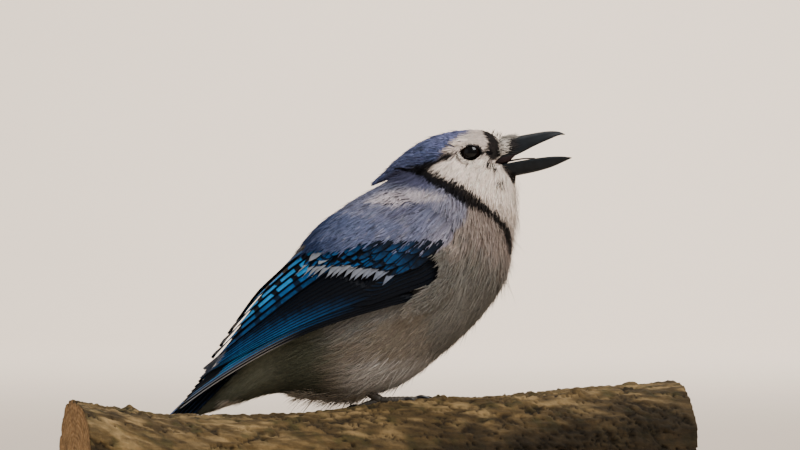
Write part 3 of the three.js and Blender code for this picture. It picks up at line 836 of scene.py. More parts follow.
class Finishes:
    """Every material of the scene, by the part that wears it."""

    def __init__(self) -> None:
        """Builds the effects and the materials."""
        effects = Effects()
        self.plumage = Plumage("soft feathers", 0.9, 0.06, 0.15, 0.0001).make(effects)
        self.skin = Plumage("skin under the coat", 0.95, 0.05, 0.2, 0.0002).make(effects)
        self.web = Web("long feathers", 0.5, 0.1, 0.3, 0.00012).make(effects)
        self.horn = Mottled("bill horn", 0.42, 0.13, 0.2, 0.0001, tone=(19, 22, 25), amount=0.7).make(effects)
        self.claw = Mottled("claws", 0.3, 0.5, 0.1, 0.0001, tone=(24, 23, 24)).make(effects)
        self.mouth = Mottled("inside of the mouth", 0.55, 0.12, 0.3, 0.0002, tone=(33, 22, 22)).make(effects)
        self.lid = Mottled("eyelids", 0.7, 0.2, 0.4, 0.0002, tone=(20, 18, 18), scale=900.0).make(effects)
        self.eye = Eyeball("eyes", 0.03, 0.22).make(effects)
        self.leg = Mottled("scaly legs", 0.5, 0.4, 0.4, 0.0002, tone=(84, 77, 68), scale=700.0).make(effects)
        self.bark = Bark("bark", 0.9, 0.25, 0.9, 0.0012).make(effects)
        self.wood = Wood("stained wood", 0.38, 0.45, 0.12, 0.0002, coat=0.25).make(effects)
        steel = Mottled("brushed steel", 0.3, 0.5, 0.05, 0.0001, 1.0, tone=(180, 180, 178), amount=0.1)
        self.steel = steel.make(effects)
        floor = Mottled("pale floor", 0.9, 0.1, 0.02, 0.0002, tone=(226, 210, 192), amount=0.02, scale=5.0)
        self.floor = floor.make(effects)


# Markings


def along_segment(x: Array, height: Array, start: Sequence[float], end: Sequence[float]) -> Places:
    """Measures points against a straight line between two others.

    Args:
        x: How far ahead each point lies.
        height: Its height.
        start: The line's first point.
        end: Its last point.

    Returns:
        The nearest place on the line, from 0 to 1, and the distance to it.
    """
    run = np.array([end[0] - start[0], end[1] - start[1]])
    place = np.clip(((x - start[0]) * run[0] + (height - start[1]) * run[1]) / max(run @ run, 1e-9), 0, 1)
    return place, np.hypot(x - start[0] - place * run[0], height - start[1] - place * run[1])


@dataclass(frozen=True)
class Band:
    """A stripe of uneven width along points seen from the side."""

    line: tuple[tuple[float, float, float], ...]
    soft: float = 0.5

    def share(self, x: Array, height: Array) -> Array:
        """How far points lie in the stripe.

        Args:
            x, height: The points, seen from the side.

        Returns:
            A share of 0 to 1 for each point.
        """
        best = np.full(np.shape(x), -1e3)
        for start, end in zip(self.line, self.line[1:]):
            place, gap = along_segment(x, height, start, end)
            best = np.maximum(best, start[2] + (end[2] - start[2]) * place - gap)
        return smooth(best, -self.soft, self.soft)


@dataclass(frozen=True)
class Field:
    """An area inside an outline seen from the side."""

    outline: tuple[Point, ...]
    soft: float = 1.0

    def share(self, x: Array, height: Array) -> Array:
        """How far points lie in the area.

        Args:
            x, height: The points, seen from the side.

        Returns:
            A share of 0 to 1 for each point.
        """
        inside = np.zeros(np.shape(x), bool)
        nearest = np.full(np.shape(x), 1e3)
        for start, end in zip(self.outline, self.outline[1:] + self.outline[:1]):
            rise = end[1] - start[1] or 1e-9
            crosses = (start[1] > height) != (end[1] > height)
            inside ^= crosses & (x < (end[0] - start[0]) * (height - start[1]) / rise + start[0])
            nearest = np.minimum(nearest, along_segment(x, height, start, end)[1])
        return smooth(np.where(inside, nearest, -nearest), -self.soft, self.soft)


class Markings:
    """Where each colour of the coat lies."""

    CROWN = Field(
        ((-12, 84), (4, 95.5), (6.3, 96.4), (13.3, 97.9), (21.8, 99.9), (24.2, 103.6), (27.8, 107.4))
        + ((32.0, 110.6), (35.4, 112.5), (35.4, 122), (-20, 122)),
        1.2,
    )
    NECKLACE = Band(
        ((5.0, 96.6, 0.5), (9.8, 96.6, 1.0), (14.2, 96.2, 2.2), (18.4, 93.8, 2.4), (24.5, 90.4, 2.6))
        + ((31.2, 87.0, 3.4), (36.3, 83.3, 2.8), (41.2, 80.6, 1.7), (45.9, 76.9, 1.4), (49.1, 73.7, 1.3))
        + ((51.2, 70.6, 1.4), (52.5, 65.1, 1.2), (53, 60.5, 0.6)),
        0.45,
    )
    LORES = Field(
        ((40.4, 114), (43.5, 114), (46.2, 110.9), (47.5, 108), (47.9, 105.6), (48.4, 104.2), (48.4, 102.6))
        + ((46.6, 100.9), (44.1, 99.9), (42.6, 102.0), (42.1, 103.9), (42.5, 106.3), (42.8, 108.7))
        + ((41.5, 110.7),),
        0.6,
    )
    LORES_CROSS = Band(((39.2, 103.4, 0.5), (43.5, 103.8, 1.2)), 0.5)
    EYELINE = Band(
        ((31.4, 104.0, 0.3), (28.6, 103.6, 0.5), (25.2, 101.6, 1.3), (22.6, 100.3, 0.9), (14.5, 97.0, 1.9)),
        0.7,
    )
    FLECKS = Band(((30.9, 101.8, 0.35), (27.4, 101.0, 0.45)), 0.4)
    SPOTS = Band(((43.4, 99.0, 0.7), (46.6, 98.2, 0.9)), 0.5)
    CHIN = Band(((50.6, 97.4, 1.1), (52.6, 94.6, 1.1), (54.2, 91.8, 0.6)), 0.6)
    NASAL = Field(((46.4, 112), (46.8, 100.6), (53, 100), (53, 114)), 0.5)
    BACK = Field(
        ((-100, -20), (-60, 14), (-46, 36), (-38, 50), (-33.6, 57.5), (-27.7, 59.3), (-14.3, 59.3))
        + ((-2.1, 62.3), (10, 64.8), (21, 66.0), (29, 71.0), (33.6, 75.2), (34.4, 81.2), (32, 86), (20, 93))
        + ((10, 97), (0, 140), (-120, 120)),
        1.2,
    )
    # Painted highlight: a pale patch where the light falls on the top of the back.
    LIT_MANTLE_PATCH = Field(
        ((-6, 82.6), (-1, 85.8), (5, 87.8), (12, 88.0), (20, 86.4), (25, 84.4), (16, 83.0), (6, 81.4)), 2.0
    )
    # Painted shade in a fold of the mantle's feathers.
    SHADED_FOLD = Band(((-2, 76.5, 0.4), (8, 79.6, 1.6), (17, 80.6, 0.6)), 2.0)
    WHITE_FACE = Field(
        ((16, 96), (22, 99.2), (28, 101.8), (31, 103), (46, 102), (60, 100), (60, 62), (52.6, 62), (50.8, 70))
        + ((45, 77), (40, 81), (34, 85), (26, 91)),
        0.6,
    )

    def coat(self, points: Array, perch_top: float) -> Array:
        """Colours the coat.

        Args:
            points: Places on the skin or on a feather, in millimetres.
            perch_top: Height of the branch's top under the feet.

        Returns:
            One linear colour for each point.
        """
        x, side, height = points[..., 0], points[..., 1], points[..., 2] - perch_top
        broad = waves(x + side, points[..., 2] - side, 22, 3)
        narrow = waves(x - side, points[..., 2], 5, 4)
        back = self.upperside(x, height, broad, narrow)
        base = mix(self.underside(x, height, broad), back, self.BACK.share(x, height))
        white = mix(Tone.WHITE.rgb, Tone.CHEEK.rgb, smooth(0.53 * x + 0.85 * height - 89.4 + narrow, 6, 1))
        base = mix(base, white, self.WHITE_FACE.share(x, height))
        # The brow colour spreads up over the forehead: partly the real pale brow, partly a painted sheen on
        # the forehead.
        head = smooth(x + height, 104, 108) * smooth(height, 94, 97)
        brow_and_sheen = mix(Tone.BROW.rgb, Tone.CROWN_LIGHT.rgb, smooth(narrow, 0.2, 1.2) * smooth(x, 40, 28) * 0.5)
        base = mix(base, brow_and_sheen, head * smooth(height + 0.2 * x, 108, 110))
        base = mix(base, Tone.NASAL.rgb, self.NASAL.share(x, height))
        crown = layered(
            Tone.CROWN,
            (Tone.CROWN_DARK, smooth(narrow, 0.1, 1.1) * 0.6),
            (Tone.CROWN_LIGHT, smooth(x + height + 3 * narrow, 122, 140) * 0.6),
            (Tone.CROWN_DARK, smooth(height - 0.55 * x + narrow, 97, 90.5) * 0.45),
        )
        base = mix(base, crown, self.CROWN.share(x, height))
        jagged = x + 0.5 * narrow, height + 0.6 * waves(x * 3, height * 3 + side, 4, 6)
        for stripe in (self.NECKLACE, self.LORES, self.LORES_CROSS, self.EYELINE, self.FLECKS):
            base = mix(base, Tone.BLACK.rgb, stripe.share(*jagged) * 0.97)
        for stripe in (self.SPOTS, self.CHIN):
            base = mix(base, Tone.BLACK.rgb, stripe.share(x, height) * 0.8)
        return base

    @staticmethod
    def underside(x: Array, height: Array, broad: Array) -> Array:
        """Colours the underside, in warm greys from the breast to the undertail that carry painted shade:
        darker lower and behind the breast's front, under the wing, and at the rear and undertail.

        Args:
            x, height: The points, seen from the side.
            broad: Their unevenness.

        Returns:
            One linear colour for each point.
        """
        # How far a point lies under the wing's line; the flank there gets painted shadow.
        under_wing = 43 + 0.45 * x - height
        return layered(
            Tone.BREAST,
            (Tone.BREAST_LOW, smooth(height + 0.6 * x + 4 * broad, 94, 74)),
            (Tone.BELLY, smooth(x + 4 * broad, 24, 8)),
            (Tone.BELLY_PALE, smooth(height + 2 * broad, 21, 11) * smooth(x, -26, -6)),
            (Tone.FLANK, smooth(under_wing + 3 * broad, 15, 4) * smooth(x, 22, 8)),
            (Tone.REAR, smooth(x + 3 * broad, -14, -34)),
            (Tone.UNDERTAIL, smooth(x + 3 * broad, -36, -58)),
            (Tone.WISP, smooth(height, 0.6, -0.8) * smooth(x, -60, -63) * smooth(x, -71, -69)),
        )

    def upperside(self, x: Array, height: Array, broad: Array, narrow: Array) -> Array:
        """Colours the back, grey and lavender, deeper to the rear and just under the crest, with a painted
        highlight on its top and painted shade in a fold.

        Args:
            x, height: The points, seen from the side.
            broad, narrow: Their unevenness.

        Returns:
            One linear colour for each point.
        """
        return layered(
            Tone.MANTLE,
            (Tone.MANTLE_BLUE, smooth(height + 0.25 * x + 2 * broad, 81, 70)),
            (Tone.MANTLE_LIGHT, smooth(narrow + broad, 0.3, 1.3) * 0.35 * smooth(x, -30, -10)),
            (Tone.MANTLE_DEEP, smooth(0.8 * x + 0.35 * height + 3 * broad, 15, 3)),
            (Tone.MANTLE_LIGHT, smooth(x + 2 * narrow, 16, 28) * 0.6),
            # painted highlight on the top of the back
            (Tone.MANTLE_PALE, self.LIT_MANTLE_PATCH.share(x, height) * 0.85),
            # painted shade in the fold
            (Tone.NAPE, self.SHADED_FOLD.share(x, height) * 0.5),
            (Tone.NAPE, smooth(height + 0.15 * x, 90.6, 92.4) * smooth(x, 24, 16)),
        )


# The coat


@dataclass(frozen=True)
class TuftShape:
    """The outline of one small feather, from its root to its tip."""

    shares: tuple[float, ...] = (0.0, 0.38, 0.76, 1.0)
    widths: tuple[float, ...] = (0.45, 1.0, 0.72)
    # Brightness from root to tip: the darker roots are painted shade, the lighter tips partly their paler
    # ends and partly painted light.
    root_shade_and_tip_light: tuple[float, ...] = (0.62, 0.88, 1.0, 1.08)
    ridge: float = 0.4
    lean: float = 0.35
    patch: float = 0.0015

    def faces(self) -> Array:
        """The vertex numbers of one tuft's triangles, with three vertices a row and one at the tip."""
        last, tip = 3 * (len(self.shares) - 2), 3 * (len(self.shares) - 1)
        faces = []
        for here in range(0, last, 3):
            for a, b in ((1, 0), (2, 1), (0, 2)):
                faces += [(here + a, here + b, here + 3 + b), (here + a, here + 3 + b, here + 3 + a)]
        faces += [(last + 1, last, tip), (last + 2, last + 1, tip), (last, last + 2, tip), (0, 1, 2)]
        return np.array(faces)


@dataclass
class Tufts:
    """Many small vanes before they are joined.

    For each one: its middle line as rows of x, y, z, the way up at each of those points, half its width,
    a colour for each row, and its place in the skin's unwrap.
    """

    centres: Array
    normals: Array
    half: Array
    colours: Array
    roots: Array

    def kept(self, keep: Array) -> Tufts:
        """The tufts that are to be kept."""
        return Tufts(*(value[keep] for value in vars(self).values()))

    def make(self, name: str, shape: TuftShape, material: Material) -> Piece:
        """Joins the tufts in one mesh.

        Args:
            name: The piece's name.
            shape: The outline of each tuft.
            material: The finish.

        Returns:
            The new object.
        """
        centres, normals, colours = self.centres, self.normals, self.colours
        count, rows = centres.shape[:2]
        sides = unit(np.cross(normals, unit(np.gradient(centres, axis=1))))
        widths = np.array([*shape.widths, 0.0])[None, :, None] * self.half[:, None, None]
        edge = sides * widths
        body = np.stack([centres - edge, centres + normals * widths * shape.ridge, centres + edge], 2)
        points = np.concatenate([body[:, :-1].reshape(count, -1, 3), centres[:, -1:]], 1)
        tilt = shape.lean * sides
        shade = np.stack([normals - tilt, normals, normals + tilt], 2)[:, :-1].reshape(count, -1, 3)
        shade = unit(np.concatenate([shade, normals[:, -1:]], 1))
        tint = opaque(np.concatenate([np.repeat(colours[:, :-1], 3, 1), colours[:, -1:]], 1))
        every = (shape.faces()[None] + np.arange(count)[:, None, None] * points.shape[1]).reshape(-1, 3)
        steps = np.array(shape.shares)[:-1]
        local = np.stack([np.tile([-1.0, 0.0, 1.0], rows - 1), np.repeat(steps * 2 - 1, 3)], 1)
        places = self.roots[:, None, :] + shape.patch * np.concatenate([local, [[0.0, 1.0]]])[None]
        return make_object(
            name,
            points.reshape(-1, 3),
            every,
            material,
            corner_uv=places.reshape(-1, 2)[every.ravel()],
            normals=shade.reshape(-1, 3),
            coat=tint.reshape(-1, 4),
        )


# Both shapes darken towards the root with painted shade.
SHORT_TUFT = TuftShape((0.0, 0.5, 1.0), (0.55, 1.0), (0.68, 0.96, 1.08))
LONG_TUFT = TuftShape()


@dataclass(frozen=True)
class Track:
    """A size of the coat along the body, at the back and at the belly."""

    at: tuple[float, ...]
    back: tuple[float, ...]
    belly: tuple[float, ...]

    def read(self, t: Array, angle: Array) -> Array:
        """The size at these places."""
        share = (1 - np.cos(angle)) / 2
        return np.interp(t, self.at, self.back) * (1 - share) + np.interp(t, self.at, self.belly) * share


def even(size: float) -> Track:
    """A size that is the same all over."""
    return Track((0.0, 1.0), (size, size), (size, size))


def patch_places(across: Array, along: Array, inset: float = 0.02) -> Array:
    """Places in the unwrap, kept away from its edges."""
    return inset + (1 - 2 * inset) * np.stack([across, along], -1)


EVEN_STEPS = (0.7548776662466927, 0.5698402909980532)  # steps that spread points evenly over a square
Area = Callable[[Array, Array, Array, Array], Array]
Tint = Callable[[Array], Array]


@dataclass(frozen=True)
class Cover:
    """One layer of small feathers over part of a shell.

    Its area gives, from the place and the point seen from the side, how thickly the tufts stand from 0 to 1.
    Roots are sunk by the depth, tips stand by the rise, and loose ones lift further by the wisp. The sweep
    turns the lie down the sides, in radians over a feather's length.
    """

    name: str
    shell: Shell
    tufts: int
    reach: Point
    area: Area
    length: Track
    half: Track
    depth: Track
    tint: Tint
    rise: float = 0.15
    wisp: float = 0.35
    sweep: float = 0.0
    jitter: float = 0.1
    lift: float = 0.0
    streak: float = 0.1
    shape: TuftShape = SHORT_TUFT


@dataclass
class Coat:
    """Lays covers of small feathers."""

    finishes: Finishes
    clear: Callable[[Array], Array]
    rows: int = 500
    columns: int = 480

    def scatter(self, cover: Cover) -> Places:
        """Spreads the tufts evenly over a cover, closer where they are smaller.

        Args:
            cover: The cover.

        Returns:
            The place of each tuft's root.
        """
        t, angle = np.meshgrid(np.linspace(*cover.reach, self.rows), full_turn(self.columns), indexing="ij")
        shell = cover.shell
        area = np.linalg.norm(np.cross(*shell.slopes(t, angle)), axis=-1)
        points = shell.surface(t, angle)
        weight = area / (cover.length.read(t, angle) * cover.half.read(t, angle))
        weight *= cover.area(t, angle, points[..., 0], points[..., 2] - shell.perch_top)
        rows, across = np.cumsum(weight.sum(1)), np.cumsum(weight, 1)
        first, second = ((0.5 + np.arange(cover.tufts) * step) % 1 for step in EVEN_STEPS)
        row = np.minimum(np.searchsorted(rows, first * rows[-1]), self.rows - 1)
        column = np.minimum((across[row] < (second * across[row, -1])[:, None]).sum(1), self.columns - 1)
        jitter = np.random.default_rng(SEED).uniform(-0.5, 0.5, (2, cover.tufts))
        return t[row, 0] + jitter[0] * (t[1, 0] - t[0, 0]), angle[0, column] + jitter[1] * angle[0, 1]

    def lay(self, cover: Cover) -> Piece:
        """Lays one cover.

        Args:
            cover: What to lay.

        Returns:
            The joined tufts.
        """
        shell, shape = cover.shell, cover.shape
        t, angle = self.scatter(cover)
        rng = np.random.default_rng(SEED + 1)
        count = len(t)
        length = cover.length.read(t, angle) * rng.uniform(0.75, 1.2, count)
        half = cover.half.read(t, angle) * rng.uniform(0.75, 1.25, count)
        along, around = (np.linalg.norm(slope, axis=-1) for slope in shell.slopes(t, angle))
        swirl = 0.16 * waves(t * 9, angle * 14, 26, 8) + rng.normal(0, cover.jitter, count)
        swirl = swirl + cover.sweep * np.sin(angle)
        loose = np.maximum(rng.normal(0, 1, count), 0) ** 2
        steps = np.array(shape.shares)[None, :]
        path_t = t[:, None] - steps * (length / np.maximum(along, 1.0) * np.cos(swirl))[:, None]
        path_angle = angle[:, None] + steps * (length / np.maximum(around, 2.0) * np.sin(swirl))[:, None]
        normal = shell.normal(path_t, path_angle)
        height = cover.lift * smooth(np.abs(np.sin(path_angle)), 0.25, 0.75)
        height = height - 0.95 * cover.depth.read(t, angle)[:, None] * (1 - smooth(steps, 0, 0.7))
        height = height + (cover.rise + cover.wisp * loose)[:, None] * steps**2
        centres = shell.surface(path_t, path_angle) + normal * height[..., None]
        colour = cover.tint((centres[:, 1] + centres[:, -1]) / 2)
        streak = rng.normal(1, cover.streak, count)[:, None] + rng.normal(0, 0.015, (count, 3))
        # Each row's colour is scaled by the tuft's brightness steps, with painted shade at the root.
        colours = np.clip(colour * streak, 0.002, 1)[:, None, :] * np.array(shape.root_shade_and_tip_light)[None, :, None]
        share = np.clip((t - cover.reach[0]) / (cover.reach[1] - cover.reach[0]), 0, 1)
        tufts = Tufts(centres, normal, half, colours, patch_places(angle / (2 * np.pi) % 1, share))
        tufts = tufts.kept(~self.clear(centres).any(1))
        return tufts.make(f"coat_{cover.name}", shape, self.finishes.plumage)


EYE = (35.8, 103.6)
COAT_AT = (0.0, 2.0, 4.0, 6.0, 8.0, 9.7, 11.0, 12.3, 13.5, 15.0)


@dataclass
class Body:
    """The head, neck and torso: one skin and its coat of small feathers."""

    shell: Shell
    wing_shell: Shell
    crest_shell: Shell
    finishes: Finishes
    markings: Markings = field(default_factory=Markings)
    length: Track = Track(
        COAT_AT,
        (7.0, 7.5, 8.5, 9.0, 8.5, 8.0, 7.5, 5.5, 3.6, 2.0),
        (9.0, 11.0, 12.0, 10.5, 9.0, 8.0, 6.5, 4.4, 2.8, 2.0),
    )
    half_width: Track = Track(
        COAT_AT,
        (0.38, 0.38, 0.38, 0.38, 0.36, 0.34, 0.32, 0.24, 0.18, 0.13),
        (0.34, 0.34, 0.33, 0.32, 0.3, 0.25, 0.21, 0.16, 0.14, 0.12),
    )
    depth: Track = Track(
        COAT_AT,
        (1.2, 1.8, 2.2, 2.4, 2.2, 2.0, 1.7, 1.2, 0.8, 0.4),
        (1.2, 2.0, 2.8, 2.6, 2.4, 2.2, 1.9, 1.2, 0.8, 0.4),
    )
    eye_opening: Point = (4.2, 3.15)
    mouth_corner: Point = (45.3, 99.3)
    mouth_rise: float = math.radians(22)
    mouth_spread: float = math.radians(24)
    side_line: float = 0.12
    hidden: Field = Field(
        ((-60, 28), (-44, 44), (-30, 54), (-8, 56), (14, 58), (14, 53), (-10, 41), (-44, 25), (-62, 14))
    )
    scapulars: Field = Field(
        ((-33, 66.5), (-22, 67.5), (-8, 67.5), (4, 70), (16, 72.5), (27, 73), (27, 79), (0, 84), (-36, 78))
    )
    breast_side: Field = Field(
        ((24.6, 68), (27.6, 62), (26.6, 54.2), (21, 49.4), (14.5, 45), (13, 41), (22, 42), (33, 56))
        + ((34, 70),),
        0.8,
    )
    rows: int = 180
    columns: int = 120

    def mouth_share(self, points: Array) -> Array:
        """How far points lie in the open mouth's corner.

        Args:
            points: The points in millimetres.

        Returns:
            A share of 0 to 1 for each point.
        """
        x = points[..., 0] - self.mouth_corner[0]
        height = points[..., 2] - self.shell.perch_top - self.mouth_corner[1]
        spread = np.maximum(x, 0) * math.tan(self.mouth_spread) + 0.1
        gap = np.abs(height - x * math.tan(self.mouth_rise)) - spread
        return smooth(gap, 0.4, -0.3) * smooth(x, -0.2, 0.8)

    def in_eye(self, points: Array, grow: float) -> Array:
        """Whether points lie in front of an eye.

        Args:
            points: The points in millimetres.
            grow: How much wider than the eye's opening is looked.

        Returns:
            True or false for each point.
        """
        x = (points[..., 0] - EYE[0]) / (self.eye_opening[0] + grow)
        height = (points[..., 2] - self.shell.perch_top - EYE[1]) / (self.eye_opening[1] + grow)
        return (x**2 + height**2 < 1) & (np.abs(points[..., 1]) > 6)

    def open_places(self, points: Array) -> Array:
        """Whether each point lies in front of an eye or in the open mouth."""
        return self.in_eye(points, 0.05) | (self.mouth_share(points) > 0.4)

    def tint(self, points: Array) -> Array:
        """The coat's colour at points."""
        return self.markings.coat(points, self.shell.perch_top)

    def back_tint(self, points: Array) -> Array:
        """The back's colour, read higher up near the wings so that no breast colour gets in."""
        low = smooth(points[..., 2] - self.shell.perch_top, 75, 68)
        return self.tint(points + low[..., None] * np.array([3.0, 0.0, 5.0]))

    def breast_tint(self, points: Array) -> Array:
        """The breast's colour, read further ahead than where the feathers lie over the wing."""
        return self.tint(points + np.array([6.0, 0.0, -2.0]))

    @staticmethod
    def wisp_tint(points: Array) -> Array:
        """The pale colour of loose strands."""
        return np.broadcast_to(Tone.WISP.rgb * 0.85, points.shape)

    def build_skin(self) -> Piece:
        """The skin, inside the solids of the flesh by the coat's depth, open at the eyes and the mouth,
        coloured darker than the coat as painted shade.
        """
        t, angle = turned_grid(np.linspace(0, self.shell.last + 0.1, self.rows), self.columns)
        outer = self.shell.surface(t, angle)
        rings = outer - self.shell.normal(t, angle) * self.depth.read(t, angle)[..., None]
        pinch = self.mouth_share(rings)
        rings[..., 1] *= 1 - 0.45 * pinch
        rings[..., 1] *= np.where(self.in_eye(rings, 0.4), 0.62, 1)
        # Painted shade: the skin takes the coat's colour at half its brightness, for the gaps between the
        # feathers.
        colour = mix(self.tint(outer) * 0.5, linear(38, 24, 23), pinch)
        return loft("skin", rings, self.finishes.skin, coat=opaque(colour))

    def part(self, name: str, tufts: int, reach: Point, side: Tint, **more: object) -> Cover:
        """One part of the body's own coat, thinned under the wing.

        Args:
            name: The part's name.
            tufts: Number of feathers.
            reach: First and last section number.
            side: From the angles, which ones belong to the part.
            **more: Further fields of the cover.

        Returns:
            The cover.
        """

        def area(t: Array, angle: Array, x: Array, height: Array) -> Array:
            """Thins the coat under the wing."""
            return side(angle) * (1 - 0.97 * self.hidden.share(x, height))

        sizes = (self.length, self.half_width, self.depth)
        return Cover(name, self.shell, tufts, reach, area, *sizes, self.tint, **more)

    def over_wing(
        self, name: str, tufts: int, area: Area, sizes: Sequence[float], tint: Tint, **more: object
    ) -> Cover:
        """A cover of long feathers over the wings.

        Args:
            name: The cover's name.
            tufts: Number of feathers.
            area: Where they stand.
            sizes: Length, half the width, and depth of the roots.
            tint: Its colour at points.
            **more: Further fields of the cover.

        Returns:
            The cover.
        """
        reach = more.pop("reach", (0, 8))
        tracks = (even(size) for size in sizes)
        return Cover(name, self.wing_shell, tufts, reach, area, *tracks, tint, shape=LONG_TUFT, **more)

    def upper(self, angle: Array) -> Array:
        """The angles of the upper side."""
        return (np.cos(angle) > self.side_line).astype(float)

    def lower(self, angle: Array) -> Array:
        """The angles of the lower side."""
        return (np.cos(angle) <= self.side_line).astype(float)

    def lower_left(self, angle: Array) -> Array:
        """The angles of the lower side that lie on the left."""
        return self.lower(angle) * (angle < np.pi)

    def lower_right(self, angle: Array) -> Array:
        """The angles of the lower side that lie on the right."""
        return self.lower(angle) * (angle >= np.pi)

    @staticmethod
    def in_field(outline: Field) -> Area:
        """The area inside an outline seen from the side."""
        return lambda t, angle, x, height: outline.share(x, height)

    def covers(self) -> list[Cover]:
        """Every layer of the coat."""
        crest_length = Track((0, 1, 3, 6.6), (2.5, 5, 11, 8), (2.5, 5, 9, 8))
        return [
            self.part("undertail", 7000, (-0.15, 3.2), self.lower, wisp=0.2),
            self.part("rump", 4500, (-0.1, 4.6), self.upper),
            self.part("belly", 15000, (3.2, 5.6), self.lower, wisp=0.5),
            self.part("breast", 15500, (5.6, 7.8), self.lower, wisp=0.3),
            self.part("mantle", 12000, (4.6, 8.6), self.upper, wisp=0.2, streak=0.16),
            self.part("throat", 14000, (7.8, 11.0), self.lower, wisp=0.6),
            self.part("nape", 8000, (8.6, 11.4), self.upper),
            self.part("forehead", 9000, (11.4, 15.1), self.upper, wisp=0.1),
            self.part("face_left", 12000, (11.0, 15.1), self.lower_left, wisp=0.2, streak=0.15),
            self.part("face_right", 12000, (11.0, 15.1), self.lower_right, wisp=0.2, streak=0.15),
            Cover(
                "crest", self.crest_shell, 7500, (0.35, 6.6),
                lambda t, angle, x, height: np.maximum(smooth(np.cos(angle), -0.5, 0.1), smooth(t, 3.4, 2.4)),
                crest_length, even(0.42), even(1.2), self.tint, rise=0.1, wisp=0.15, sweep=-0.35, jitter=0.05,
                streak=0.3, shape=LONG_TUFT,
            ),
            self.over_wing(
                "scapulars", 6500, self.in_field(self.scapulars), (10.0, 0.5, 1.5), self.back_tint,
                lift=3.2, wisp=0.15, rise=0.6, streak=0.22,
            ),
            self.over_wing(
                "breast_sides", 3500, self.in_field(self.breast_side), (9.0, 0.34, 5.5), self.breast_tint,
                lift=2.6, wisp=0.5, rise=0.8,
            ),
            self.over_wing(
                "shoulders", 3000, lambda t, angle, x, height: smooth(height, 66, 69), (8.0, 0.45, 7.0),
                self.back_tint, reach=(6.85, 8.0), lift=3.2, wisp=0.1, rise=0.3, streak=0.2,
            ),
            Cover(
                "belly_fringe", self.shell, 1600, (3.0, 4.6),
                lambda t, angle, x, height: smooth(np.cos(angle), -0.9, -0.98),
                self.length, self.half_width, self.depth, self.wisp_tint, wisp=1.6, rise=1.2, jitter=0.25,
                shape=LONG_TUFT,
            ),
        ]

    def build(self) -> list[Piece]:
        """Builds the skin and the coat."""
        skin = self.build_skin()
        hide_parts("head", "neck", "torso")
        coat = Coat(self.finishes, self.open_places)
        pieces = [skin, *(coat.lay(cover) for cover in self.covers())]
        return pieces


# Long feathers


@dataclass(frozen=True)
class Ink:
    """The pattern of a long feather.

    Its black bars, its blue, the length of its white tip, its pale rim, the width of its blue band,
    how far from the tip the blue fades, and the bars' period and shift, with lengths in millimetres.
    """

    bars: float = 0.0
    blue: float = 0.3
    white: float = 0.0
    rim: float = 0.0
    band: float = 2.6
    fade: float = 60.0
    period: float = 11.8
    shift: float = 0.0

    def blend(self, other: Ink, share: float) -> Ink:
        """A pattern between this one and another."""
        return Ink(*(between((a, b), share) for a, b in zip(vars(self).values(), vars(other).values())))


@dataclass(frozen=True)
class Tier:
    """One tier of a wing's feathers, by the lower edges of its first and last one.

    The skew moves the feathers' tips from the middle, at 0, to the lower edge, at 1.
    """

    name: str
    count: int
    roots: tuple[Point, Point]
    tips: tuple[Point, Point]
    half: float
    lift: float
    standing: float
    inks: tuple[Ink, ...]
    blunt: float = 0.12
    bow: tuple[float, float] = (0.0, 0.0)
    wander: float = 0.15
    sharp: float = 0.5
    skew: float = 0.0


